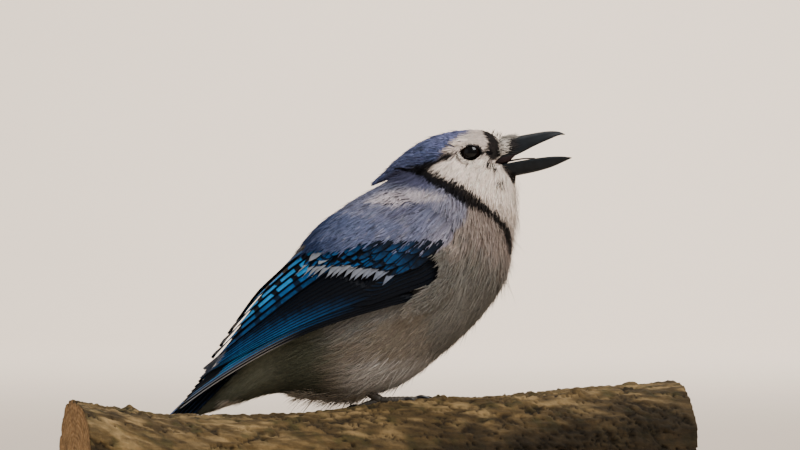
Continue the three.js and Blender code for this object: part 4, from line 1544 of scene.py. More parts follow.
WING_TIERS = (
    Tier(
        "primaries", 7, ((12, 42.6), (2, 46.5)), ((-87, -4.8), (-77.5, 7.6)), 3.4, 0.1, 0.9,
        (
            Ink(blue=0.0, rim=0.8, band=0.5, fade=66),
            Ink(blue=0.9, rim=0.3, band=1.0, fade=70),
            Ink(blue=1.0, band=1.4, fade=74),
            Ink(blue=0.75, band=1.4, fade=72),
        ),
        0.12, (6.6, 4.6), 0.1, 1.0, 1.0,
    ),
    Tier(
        "secondaries", 10, ((-1, 45.2), (-21, 53)), ((-76.2, 8.4), (-72.6, 13.8)), 4.4, 0.8, 1.0,
        (
            Ink(blue=0.85, band=1.6, fade=70, white=3.0),
            Ink(0.0, blue=0.7, band=1.6, fade=60, white=8.0, period=7),
            Ink(0.2, blue=0.5, band=1.6, fade=48, white=11.0, period=8),
            Ink(0.5, blue=0.4, band=1.8, fade=40, white=11.0, period=9),
        ),
        0.18, (2.4, 1.4), 0.15, 1.0, 1.0,
    ),
    Tier(
        "tertials", 6, ((-19, 56.5), (-28, 64.5)), ((-74.6, 11.8), (-57.8, 38.0)), 5.4, 1.4, 1.1,
        (
            Ink(0.7, 0.35, 10.0, 0.0, 2.4, 200, 11.8, 1.5),
            Ink(0.9, 0.6, 10.0, 0.0, 2.8, 200, 11.8, 4.2),
            Ink(1.0, 1.0, 10.0, 0.0, 3.3, 200, 11.8, 9.8),
            Ink(1.0, 1.0, 9.0, 0.0, 3.3, 200, 11.8, 0.7),
            Ink(1.0, 0.85, 6.0, 0.0, 3.3, 200, 11.8, 0.8),
            Ink(0.8, 0.35, 3.0, 0.0, 2.6, 200, 11.8, 6.0),
        ),
        0.36, (0.8, 0.8), 0.1, 1.0, 1.0,
    ),
    Tier(
        "primary_coverts", 6, ((26, 50.5), (20, 59)), ((-14, 37.0), (-2, 47.5)), 3.6, 0.9, 0.5,
        (Ink(blue=0.0, band=0.4, fade=40), Ink(blue=0.1, band=0.9, fade=30)),
        0.15, (1.0, 1.0), 0.3, 0.8,
    ),
    Tier(
        "greater_coverts", 16, ((11, 60.5), (-23, 63.5)), ((0.5, 48.6), (-34.5, 51.0)), 1.9, 1.9, 0.6,
        (
            Ink(0.2, 0.1, 6.4, 0.0, 1.6, 60, 3.2),
            Ink(0.7, 0.1, 8.2, 0.0, 1.6, 60, 3.2),
            Ink(0.9, 0.5, 7.0, 0.0, 2.0, 60, 3.2),
        ),
        0.3, (0.3, 0.3), 0.6, 1.0,
    ),
    Tier(
        "median_coverts", 9, ((20, 61.5), (-20, 64.0)), ((5.5, 51.5), (-29.5, 56)), 2.5, 2.6, 0.5,
        (
            Ink(0.0, 0.35, 0.0, 0.0, 9.0, 20, 4.4),
            Ink(0.7, 0.25, 0.0, 0.0, 9.0, 20, 5.2),
            Ink(1.0, 0.5, 0.8, 0.0, 1.6, 30, 4.6),
            Ink(1.0, 0.4, 0.6, 0.0, 1.6, 30, 5.4, 1.0),
            Ink(0.8, 0.5, 7.5, 0.0, 9.0, 30, 4.0),
        ),
        0.3, (0.3, 0.3), 0.5, 0.7,
    ),
    Tier(
        "lesser_coverts", 7, ((24, 65.0), (-12, 65.0)), ((12.5, 54.5), (-19, 58.5)), 3.2, 3.1, 0.5,
        (
            Ink(0.0, 0.2, 0.0, 0.0, 9.0, 12, 3.4),
            Ink(0.2, 0.5, 0.0, 0.0, 9.0, 16, 3.4),
            Ink(0.3, 0.4, 0.0, 0.0, 2.2, 10, 3.4),
            Ink(0.6, 0.6, 0.0, 0.0, 9.0, 14, 4.0),
        ),
        0.3, (0.2, 0.2), 0.6,
    ),
    Tier(
        "marginal_coverts", 6, ((27, 68), (2, 67.5)), ((17, 59), (-7, 60.5)), 3.0, 3.5, 0.4,
        (
            Ink(0.0, 0.2, 0.0, 0.0, 9.0, 10, 3.4),
            Ink(0.0, 0.5, 0.0, 0.0, 9.0, 10, 3.4),
            Ink(0.0, 0.3, 0.0, 0.0, 9.0, 8, 3.4),
        ),
        0.35, (0.2, 0.2), 0.6,
    ),
)


def vane_width(share: Array, blunt: float, sharp: float = 0.5) -> Array:
    """The width along a long feather, narrow at the root and rounded or pointed at the tip.

    Args:
        share: Places along it, from 0 to 1.
        blunt: How much of it the tip takes up.
        sharp: How pointed the tip is, from 0.5 to 1.

    Returns:
        A width of 0 to 1 at each place.
    """
    root = 0.5 + 0.5 * smooth(share, 0, 0.3)
    end = np.clip((share - (1 - 1.6 * blunt)) / (1.6 * blunt), 0, 1)
    return root * np.maximum(1 - end ** (3.2 - 2 * sharp), 0) ** sharp


def shaft(across: Array, share: Array, height: float) -> Array:
    """The raised middle of a long feather, lower towards its tip."""
    return height * np.exp(-((across / 0.12) ** 2)) * (1 - share)


@dataclass
class VaneBatch:
    """Long feathers that are joined in one mesh, each with its own patches of the unwrap."""

    rows: int = 40
    columns: int = 11
    thickness: float = 0.16
    points: list[Array] = field(default_factory=list)
    values: dict[str, list[Array]] = field(default_factory=lambda: {name: [] for name in WEB_VALUES})

    def add(
        self, top: Array, normal: Array, width: Array, length: float, ink: Ink, turned: bool = False
    ) -> None:
        """Adds one feather.

        Args:
            top: Its upper face, as rows, columns and x, y, z.
            normal: The way up at each of those points.
            width: Half its width at each row.
            length: Its length in millimetres.
            ink: Its pattern.
            turned: Whether its columns run from the outer edge inwards, as on the bird's right.
        """
        share = np.linspace(0, 1, self.rows)[:, None]
        across = np.linspace(1, -1, self.columns) if turned else np.linspace(-1, 1, self.columns)
        place = np.stack(
            [(1 - across) * width[:, None], across * width[:, None], (1 - share) * length + 0 * across], -1
        ).reshape(-1, 3)
        inks = {
            "ink": (ink.bars, ink.blue, ink.white),
            "more": (ink.rim, ink.band, ink.fade),
            "bar": (ink.period, ink.shift, 0.0),
        }
        for face in (top, top - normal * self.thickness):
            self.points.append(face.reshape(-1, 3))
            self.values["vane"].append(place)
            for key, value in inks.items():
                self.values[key].append(np.tile(value, (len(place), 1)))

    def make(self, name: str, material: Material, mirrored: bool = False) -> Piece:
        """Joins the feathers added so far.

        Args:
            name: The piece's name.
            material: The finish.
            mirrored: Whether to put them on the bird's right side.

        Returns:
            The new object.
        """
        rows, columns = self.rows, self.columns
        quads, corners = grid_faces(rows, columns, False)
        size = rows * columns
        at = np.arange(size).reshape(rows, columns)
        rim = np.concatenate([at[:-1, 0], at[-1, :-1], at[:0:-1, -1], at[0, :0:-1]])
        after = np.roll(rim, -1)
        wall = np.stack([rim, after, after + size, rim + size], 1)
        one = np.concatenate([quads, quads[:, ::-1] + size, wall])
        flat = corners.reshape(-1, 4, 2)
        edge = np.stack([at % columns / (columns - 1), at // columns / (rows - 1)], -1).reshape(-1, 2)
        edge_uv = np.stack([edge[rim], edge[after], edge[after], edge[rim]], 1)
        count = len(self.points) // 2
        cells = math.ceil(math.sqrt(count * 2))
        scale, inset = 0.94 / cells, 0.03 / cells
        unwraps = []
        for k in range(count):
            upper, under = (np.array([cell % cells, cell // cells]) / cells for cell in (2 * k, 2 * k + 1))
            for patch, cell in ((flat, upper), (flat[:, ::-1], under), (edge_uv, upper)):
                unwraps.append(patch * scale + cell + inset)
        points = np.concatenate(self.points)
        every = np.concatenate([one + 2 * size * k for k in range(count)])
        unwrap = np.concatenate(unwraps)
        if mirrored:
            points = points * [1, -1, 1]
            every, unwrap = every[:, ::-1], unwrap[:, ::-1]
        values = {key: np.concatenate(value) for key, value in self.values.items()}
        return make_object(name, points, every, material, corner_uv=unwrap.reshape(-1, 2), **values)


@dataclass
class Wings:
    """Both folded wings, tier by tier."""

    shell: Shell
    finishes: Finishes
    midline: float = 0.35
    round_off: float = 52
    core_upper: tuple[Point, ...] = ((-64, 25), (-56, 38), (-38, 54.5), (-14, 59.5), (18, 65))
    core_lower: tuple[Point, ...] = ((-66, 12), (-56, 18), (-38, 28.5), (-8, 41), (20, 55))
    core_depth: float = 0.7
    core_rows: int = 40
    core_columns: int = 12

    def feather(self, tier: Tier, place: float, rng: np.random.Generator, batch: VaneBatch) -> None:
        """Adds one feather of a tier.

        Args:
            tier: The tier.
            place: Its place in the tier, from 0 to 1.
            rng: Draws its small differences.
            batch: Takes the feather.
        """
        share = np.linspace(0, 1, batch.rows)
        down_it = share[:, None]
        root = between(tier.roots, place)
        tip = between(tier.tips, place) + rng.normal(0, tier.wander, 2)
        run = unit((tip - root)[None])[0]
        bow = between(tier.bow, place)
        line = root[None] * (1 - down_it) + tip[None] * down_it
        line = line + np.sin(np.pi * down_it) * bow * np.array([run[1], -run[0]])[None]
        places = self.shell.locate(line[:, 0], line[:, 1])
        spots, normal = self.shell.surface(*places), self.shell.normal(*places)
        down = unit(np.cross(unit(np.gradient(spots, axis=0)), normal))
        across = np.linspace(-1, 1, batch.columns)[None]
        ragged = waves(share * 40, np.full_like(share, rng.uniform(0, 90)), 3, 5)
        ragged = 1 - 0.05 * np.abs(ragged) * smooth(share, 0.4, 0.9)
        width = tier.half * vane_width(share, tier.blunt, tier.sharp) * ragged
        reach = across * width[:, None] - tier.half + tier.skew * (tier.half - width[:, None])
        height = tier.lift * smooth(down_it, -0.2, 0.35) + tier.standing * (across + 1) / 2
        height = height - reach**2 / self.round_off + shaft(across, down_it, 0.1)
        top = spots[:, None] + down[:, None] * reach[..., None] + normal[:, None] * height[..., None]
        top[..., 1] = np.maximum(top[..., 1], self.midline)
        length = float(np.linalg.norm(np.diff(spots, axis=0), axis=1).sum())
        stop = place * (len(tier.inks) - 1)
        first = min(int(stop), len(tier.inks) - 2)
        ink = tier.inks[first].blend(tier.inks[first + 1], stop - first)
        batch.add(top, np.broadcast_to(normal[:, None], top.shape), width, length, ink)

    def core(self) -> Array:
        """The dark plate that closes a wing under its feathers, as a grid of points."""
        along = np.linspace(0, len(self.core_upper) - 1, self.core_rows)
        across = np.linspace(0, 1, self.core_columns)[None, :, None]
        edges = (self.core_upper, self.core_lower)
        upper, lower = (spline(np.array(edge, float), along)[:, None] for edge in edges)
        line = upper * (1 - across) + lower * across
        t, angle = self.shell.locate(line[..., 0], line[..., 1])
        angle = np.maximum(angle, 0.1)
        return self.shell.surface(t, angle) - self.shell.normal(t, angle) * self.core_depth

    def build(self) -> list[Piece]:
        """Builds the left wing and its mirror image."""
        rng = np.random.default_rng(SEED + 2)
        batch = VaneBatch()
        core_batch = VaneBatch(self.core_rows, self.core_columns, 0.9)
        grid = self.core()
        outward = np.broadcast_to([0.0, 1.0, 0.0], grid.shape)
        core_batch.add(grid, outward, np.full(self.core_rows, 10.0), 60.0, Ink(0, 0, 0, 0, 0))
        for tier in WING_TIERS:
            for k in range(tier.count):
                self.feather(tier, k / (tier.count - 1), rng, batch)
        made = []
        for side, mirrored in (("left", False), ("right", True)):
            feathers = batch.make(f"wing_feathers_{side}", self.finishes.web, mirrored)
            plate = core_batch.make(f"wing_lining_{side}", self.finishes.web, mirrored)
            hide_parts(f"wing_{side}")
            made += [feathers, plate]
        return made


@dataclass
class Tail:
    """Twelve tail feathers, the middle pair on top."""

    perch_top: float
    finishes: Finishes
    root: Point = (-49.5, 33.6)
    slope: float = math.radians(44.2)
    length: float = 123
    shorter: float = 14
    pairs: int = 6
    step: float = 1.15
    half: float = 4.8

    def feather(self, side: int, k: int, batch: VaneBatch) -> None:
        """Adds one feather.

        Args:
            side: 1 on the left and -1 on the right.
            k: Its number from the middle.
            batch: Takes the feather.
        """
        along = np.array([-math.cos(self.slope), 0, -math.sin(self.slope)])
        up = np.array([-math.sin(self.slope), 0, math.cos(self.slope)])
        share = np.linspace(0, 1, batch.rows)[:, None]
        across = np.linspace(-1, 1, batch.columns)[None]
        outer = k / (self.pairs - 1)
        middle = (1 + 5.2 * outer) * (1 - share) + (2.2 + 8.2 * outer) * share
        width = self.half * vane_width(share, 0.1) * (0.62 + 0.38 * share)
        reach = across * width
        drop = k * self.step + (0.35 if side > 0 else 0)
        height = -drop * (0.7 + 0.3 * share) - reach * (0.06 + 0.5 * outer**2)
        height = height + shaft(across, share, 0.25) - 0.02 * reach**2
        top = np.array([self.root[0], 0, self.perch_top + self.root[1]]) + np.zeros((*reach.shape, 3))
        run = share * (self.length - self.shorter * outer**1.6)
        top = top + run[..., None] * along + height[..., None] * up
        top[..., 1] = side * (middle + reach)
        if side < 0:
            top = top[:, ::-1]
        if k == 0:
            ink = Ink(0.9, 0.5, 0.0, 0.25, 14.0, 200.0, 5.5)
        else:
            ink = Ink(0.9, 0.1, 7.0 + 3.0 * k, 0.25, 1.2, 200.0, 5.5)
        batch.add(top, np.broadcast_to(up, top.shape), width[:, 0], self.length, ink, side < 0)

    def build(self) -> list[Piece]:
        """Builds the tail."""
        batch = VaneBatch(56, 11, 0.2)
        for side in (-1, 1):
            for k in range(self.pairs):
                self.feather(side, k, batch)
        feathers = batch.make("tail_feathers", self.finishes.web)
        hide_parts("tail")
        return [feathers]


# The head's hard parts


@dataclass
class Bill:
    """Both halves of the open bill, with the mouth and the tongue."""

    perch_top: float
    finishes: Finishes
    upper: tuple[Section, ...] = (
        ((43.0, 108.6), (43.5, 98.9), 5.8),
        ((50.0, 109.8), (51.0, 101.2), 5.3),
        ((56.0, 110.9), (57.0, 103.7), 4.6),
        ((62.0, 112.0), (62.8, 106.7), 3.7),
        ((68.0, 112.9), (68.6, 109.3), 2.6),
        ((72.7, 112.8), (73.0, 111.1), 1.3),
        ((75.6, 111.7), (75.6, 111.4), 0.3),
    )
    lower: tuple[Section, ...] = (
        ((44.0, 92.4), (43.5, 98.0), 5.5),
        ((51.5, 93.5), (51.0, 99.4), 5.1),
        ((57.5, 94.6), (57.0, 100.5), 4.5),
        ((64.0, 96.0), (63.3, 101.5), 3.7),
        ((70.0, 97.8), (69.5, 102.2), 2.8),
        ((74.8, 99.9), (74.5, 102.3), 1.6),
        ((78.4, 101.6), (78.4, 101.9), 0.3),
    )
    tongue: tuple[Point, ...] = ((44.5, 99.0), (52.0, 100.4), (58.0, 101.4), (63.0, 101.6))
    flatness: float = 0.85

    def half_bill(self, name: str, sections: Sequence[Section], hollow: float) -> Piece:
        """One half of the bill: a rounded ridge, flat sides, sharp cutting edges and a hollow roof or floor.

        Args:
            name: The piece's name.
            sections: Its ridge, its cutting edge and half its width, from the root to the tip.
            hollow: How far the hollow goes towards the ridge, from 0 to 1.

        Returns:
            The new object.
        """
        read = spline(section_table(sections), np.linspace(0, len(sections) - 1, 60))
        ridge, edge, half = read[:, None, 0:2], read[:, None, 2:4], np.maximum(read[:, 4:5], 0.05)
        angle = np.linspace(-np.pi / 2, np.pi / 2, 25)[None]
        inner = np.linspace(1, -1, 11)[1:-1][None]
        faces = (
            (np.cos(angle) ** self.flatness, half * np.sin(angle)),
            (hollow * (1 - inner**2), half * inner * 0.98),
        )
        rings = []
        for level, out in faces:
            arch = edge + (ridge - edge) * level[..., None]
            rings.append(np.stack([arch[..., 0], out, self.perch_top + arch[..., 1]], -1))
        return loft(name, np.concatenate(rings, 1), self.finishes.horn)

    def mouth_lining(self) -> Piece:
        """The dark, wet throat behind the open bill."""
        share = np.linspace(0, 1, 20)[:, None]
        angle = full_turn(28)[None]
        upper = np.interp(share, (0, 0.45, 1), (99.8, 103.2, 103.4))
        lower = np.interp(share, (0, 0.45, 0.68, 1), (99.1, 98.9, 99.6, 102.7))
        level = signed_power(np.sin(angle), 0.6)
        out = (5.9 - 0.8 * share) * signed_power(np.cos(angle), 0.5)
        height = self.perch_top + (upper + lower + (upper - lower) * level) / 2
        rings = np.stack([44.8 + 10 * share + 0 * angle, out, height], -1)
        return loft("mouth_lining", rings, self.finishes.mouth)

    def tongue_body(self) -> Piece:
        """The flat, pointed tongue."""
        line = spline(np.array(self.tongue, float), np.linspace(0, len(self.tongue) - 1, 24))
        share = np.linspace(0, 1, 24)[:, None]
        angle = full_turn(14)[None]
        wide = 2.2 * np.sqrt(1.02 - share**2)
        tall = 0.55 * (1 - 0.7 * share)
        height = self.perch_top + line[:, 1:2] + tall * np.sin(angle) - 0.3 * np.cos(angle) ** 2
        rings = np.stack([line[:, 0:1] + 0 * angle, wide * np.cos(angle), height], -1)
        return loft("tongue_blade", rings, self.finishes.mouth)

    def build(self) -> list[Piece]:
        """Builds the bill and the mouth."""
        upper = self.half_bill("bill_upper_horn", self.upper, 0.3)
        lower = self.half_bill("bill_lower_horn", self.lower, 0.28)
        tongue = self.tongue_body()
        lining = self.mouth_lining()
        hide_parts("bill_upper")
        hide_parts("bill_lower")
        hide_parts("tongue")
        return [upper, lower, tongue, lining]


@dataclass
class Eyes:
    """Both eyes with their lids."""

    perch_top: float
    finishes: Finishes
    centre: tuple[float, float, float] = (EYE[0], 8.7, EYE[1])
    radius: float = 5.1
    opening: Point = (4.05, 3.05)
    iris: float = 4.4
    pupil: float = 2.6
    beads: int = 42

    def ball(self, side: int) -> Piece:
        """One eyeball, its colour set by the distance from the pupil's middle.

        Args:
            side: 1 on the left and -1 on the right.

        Returns:
            The eyeball.
        """
        name = side_name(side)
        polar = np.linspace(0.02, np.pi - 0.02, 40)[:, None]
        turn = full_turn(48)[None]
        x = self.radius * np.sin(polar) * np.cos(turn)
        z = self.radius * np.sin(polar) * np.sin(turn)
        y = side * self.radius * np.cos(polar) * np.ones_like(turn)
        height = self.perch_top + self.centre[2] + z
        rings = np.stack([self.centre[0] + x, side * self.centre[1] + y, height], -1)
        gap = np.hypot(x, z)
        colour = mix(linear(6, 4, 4), linear(24, 15, 12), smooth(gap, self.pupil, self.pupil + 0.4))
        colour = mix(colour, linear(14, 11, 10), smooth(gap, self.iris - 0.9, self.iris))
        ball = loft(f"eyeball_{name}", rings, self.finishes.eye, coat=opaque(colour))
        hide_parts(f"eye_{name}")
        return ball

    def lids(self, side: int) -> Piece:
        """The lids' rim, a low ring of fine beads that is thicker above.

        Args:
            side: 1 on the left and -1 on the right.

        Returns:
            The rim.
        """
        turn, small = full_turn(120)[:, None], full_turn(12)[None]
        beads = 1 + 0.13 * np.abs(np.sin(turn * self.beads / 2))
        thick = (0.2 + 0.08 * np.maximum(np.sin(turn), 0)) * beads
        wide, tall = (half + 0.15 + thick * np.cos(small) for half in self.opening)
        x, z = wide * np.cos(turn), tall * np.sin(turn)
        dome = np.sqrt(np.maximum((self.radius + 0.25) ** 2 - x**2 - z**2, 1.0))
        y = self.centre[1] + dome + thick * (0.25 + 0.9 * np.sin(small))
        height = self.perch_top + self.centre[2] + z
        rings = np.stack([self.centre[0] + x, side * y, height], -1)
        rings = np.concatenate([rings, rings[:1]])
        faces, corners = grid_faces(rings.shape[0], rings.shape[1], True)
        points = rings.reshape(-1, 3)
        turned = facing_out(points, faces)
        rim = make_object(f"eyelids_{side_name(side)}", points, turned, self.finishes.lid, corner_uv=corners)
        return rim

    def build(self) -> list[Piece]:
        """Builds both eyes."""
        return [piece for side in (-1, 1) for piece in (self.ball(side), self.lids(side))]


@dataclass(frozen=True)
class Spray:
    """Fine strands that start along a line seen from the side, the same on both sides of the head.

    They aim between two angles in degrees, counted from straight ahead or from straight away from a point,
    turn by the curl, and stand off by the rise at their tips. Free ones leave the surface where they start.
    """

    count: int
    line: tuple[Point, ...]
    spread: float
    aim: Point
    length: Point
    half: float
    tones: tuple[Tone, Tone]
    rise: float = 0.3
    curl: float = 0.0
    free: bool = False
    away_from: Point | None = None


def eye_rim(first: int, last: int) -> tuple[Point, ...]:
    """Part of the eye's rim, between two angles in degrees."""
    turns = np.radians(np.arange(first, last + 1, 20))
    return tuple((EYE[0] + 4.4 * math.cos(turn), EYE[1] + 3.4 * math.sin(turn)) for turn in turns)


DARK = (Tone.BLACK, Tone.SOOT)
PALE = (Tone.WHITE, Tone.WISP)
NASAL = (Tone.NASAL, Tone.WISP)
THROAT_LINE = ((54.2, 91), (54.9, 84), (54.4, 76), (52.6, 68))
SPRAYS = (
    Spray(420, ((47.9, 103.8), (48.8, 106.4), (48.6, 109.0)), 0.4, (2, 26), (2.5, 4.6), 0.17, NASAL, 0.5),
    Spray(200, ((47.8, 109.6), (50.0, 110.1), (52.0, 110.4)), 0.4, (0, 20), (3, 5.5), 0.15, NASAL, 0.3),
    Spray(320, ((49.0, 104.0), (50.2, 106.4), (50.2, 108.6)), 0.9, (2, 24), (3, 6), 0.09, DARK, 1.0),
    Spray(60, ((48.6, 104.4), (49.2, 107.0), (48.8, 109.4)), 0.6, (0, 24), (4, 7), 0.09, DARK, 0.7),
    Spray(40, ((44.9, 111.2), (49.6, 109.8)), 0.4, (50, 125), (1.8, 3.4), 0.1, DARK, free=True),
    Spray(200, ((49.4, 98.4), (51.2, 96.2), (52.8, 94.2)), 0.5, (-60, -15), (1.2, 2.6), 0.12, DARK, 0.3),
    Spray(170, ((52.9, 94.6), (54.4, 94.8)), 0.4, (-104, -84), (3, 7.5), 0.13, DARK, free=True),
    Spray(60, ((47.6, 93.0), (49.6, 90.6)), 0.7, (-110, -70), (2, 4), 0.13, DARK, 1.0),
    Spray(50, ((53.2, 95), (54.6, 88)), 0.4, (-70, -15), (3, 6.5), 0.06, PALE, free=True, curl=-20),
    Spray(300, THROAT_LINE, 0.5, (-92, -58), (6, 11), 0.11, PALE, free=True, curl=-24),
    Spray(80, ((42.6, 99.8), (44.6, 98.6), (47.4, 97.6)), 0.7, (-130, -70), (1.6, 3), 0.1, DARK, 0.6),
    Spray(90, eye_rim(190, 300), 0.15, (-60, -10), (1.3, 2.1), 0.15, PALE, 0.3, away_from=EYE),
    Spray(60, eye_rim(190, 300), 0.7, (-60, -10), (1.2, 2.2), 0.11, DARK, 0.4, away_from=EYE),
    Spray(110, eye_rim(310, 540), 0.1, (10, 70), (0.5, 1.1), 0.12, DARK, 0.1, away_from=EYE),
)


@dataclass
class Bristles:
    """The bristles at the bill's root, the strands of the chin and throat, and the rings around the eyes."""

    shell: Shell
    bill: Bill
    finishes: Finishes
    clearance: float = 0.15

    def beside(self, x: Array, height: Array) -> tuple[Array, Array]:
        """Finds the side of the head or the bill at points seen from the side.

        Args:
            x, height: The points, seen from the side.

        Returns:
            How far out to the left the side lies there, and the way out of it.
        """
        places = self.shell.locate(x, height)
        points = self.shell.surface(*places)
        off = np.hypot(points[..., 0] - x, points[..., 2] - self.shell.perch_top - height)
        out, way = points[..., 1] * smooth(off, 1.2, 0.2), self.shell.normal(*places)
        for sections in (self.bill.upper, self.bill.lower):
            knots = section_table(sections)
            ridge = np.interp(x, knots[:, 0], knots[:, 1])
            edge, half = (np.interp(x, knots[:, 2], knots[:, k]) for k in (3, 4))
            level = (height - edge) / (ridge - edge)
            near = (level > 0) & (level < 1.3)
            level = np.clip(level, 0, 0.97) ** (1 / self.bill.flatness)
            horn = half * np.sqrt(1 - level**2) * near
            outward = unit(np.stack([0.1 + 0 * x, horn / half, level * np.sign(ridge - edge)], -1))
            further = horn > out
            out, way = np.where(further, horn, out), np.where(further[..., None], outward, way)
        return out, way

    def strands(self, spray: Spray, rng: np.random.Generator) -> Tufts:
        """Lays one spray.

        Args:
            spray: The spray.
            rng: Draws the strands' differences.

        Returns:
            The strands.
        """
        count = spray.count
        start = spline(np.array(spray.line, float), rng.uniform(0, len(spray.line) - 1, count))
        start = start + rng.normal(0, spray.spread, (count, 2))
        turn = np.radians(rng.uniform(*spray.aim, count))
        if spray.away_from:
            turn = turn + np.arctan2(start[:, 1] - spray.away_from[1], start[:, 0] - spray.away_from[0])
        length = rng.uniform(*spray.length, count)[:, None]
        steps = np.array(LONG_TUFT.shares)[None]
        bend = turn[:, None] + math.radians(spray.curl) * steps
        x = start[:, :1] + length * steps * np.cos(bend)
        height = start[:, 1:] + length * steps * np.sin(bend)
        out, way = self.beside(x, height)
        if spray.free:
            out = np.broadcast_to(rng.uniform(0, 4, (count, 1)), x.shape)
        side = np.where(np.arange(count) % 2, 1.0, -1.0)[:, None]
        out = side * (out + self.clearance + spray.rise * steps**2)
        way = way * np.stack([np.ones_like(x), side + 0 * x, np.ones_like(x)], -1)
        tone = mix(spray.tones[0].rgb, spray.tones[1].rgb, rng.uniform(0, 1, count))
        t, angle = self.shell.locate(start[:, 0], start[:, 1])
        return Tufts(
            np.stack([x, out, self.shell.perch_top + height], -1),
            way,
            rng.uniform(0.8, 1.2, count) * spray.half,
            # the strands' colours, with painted shade at the root
            tone[:, None] * np.array(LONG_TUFT.root_shade_and_tip_light)[None, :, None],
            patch_places(side[:, 0] * angle / (2 * np.pi) % 1, t / self.shell.last),
        )

    def build(self) -> list[Piece]:
        """Builds every strand in one piece."""
        rng = np.random.default_rng(SEED + 4)
        sets = [vars(self.strands(spray, rng)).values() for spray in SPRAYS]
        joined = Tufts(*(np.concatenate(part) for part in zip(*sets)))
        piece = joined.make("face_bristles", LONG_TUFT, self.finishes.plumage)
        return [piece]


# The perch


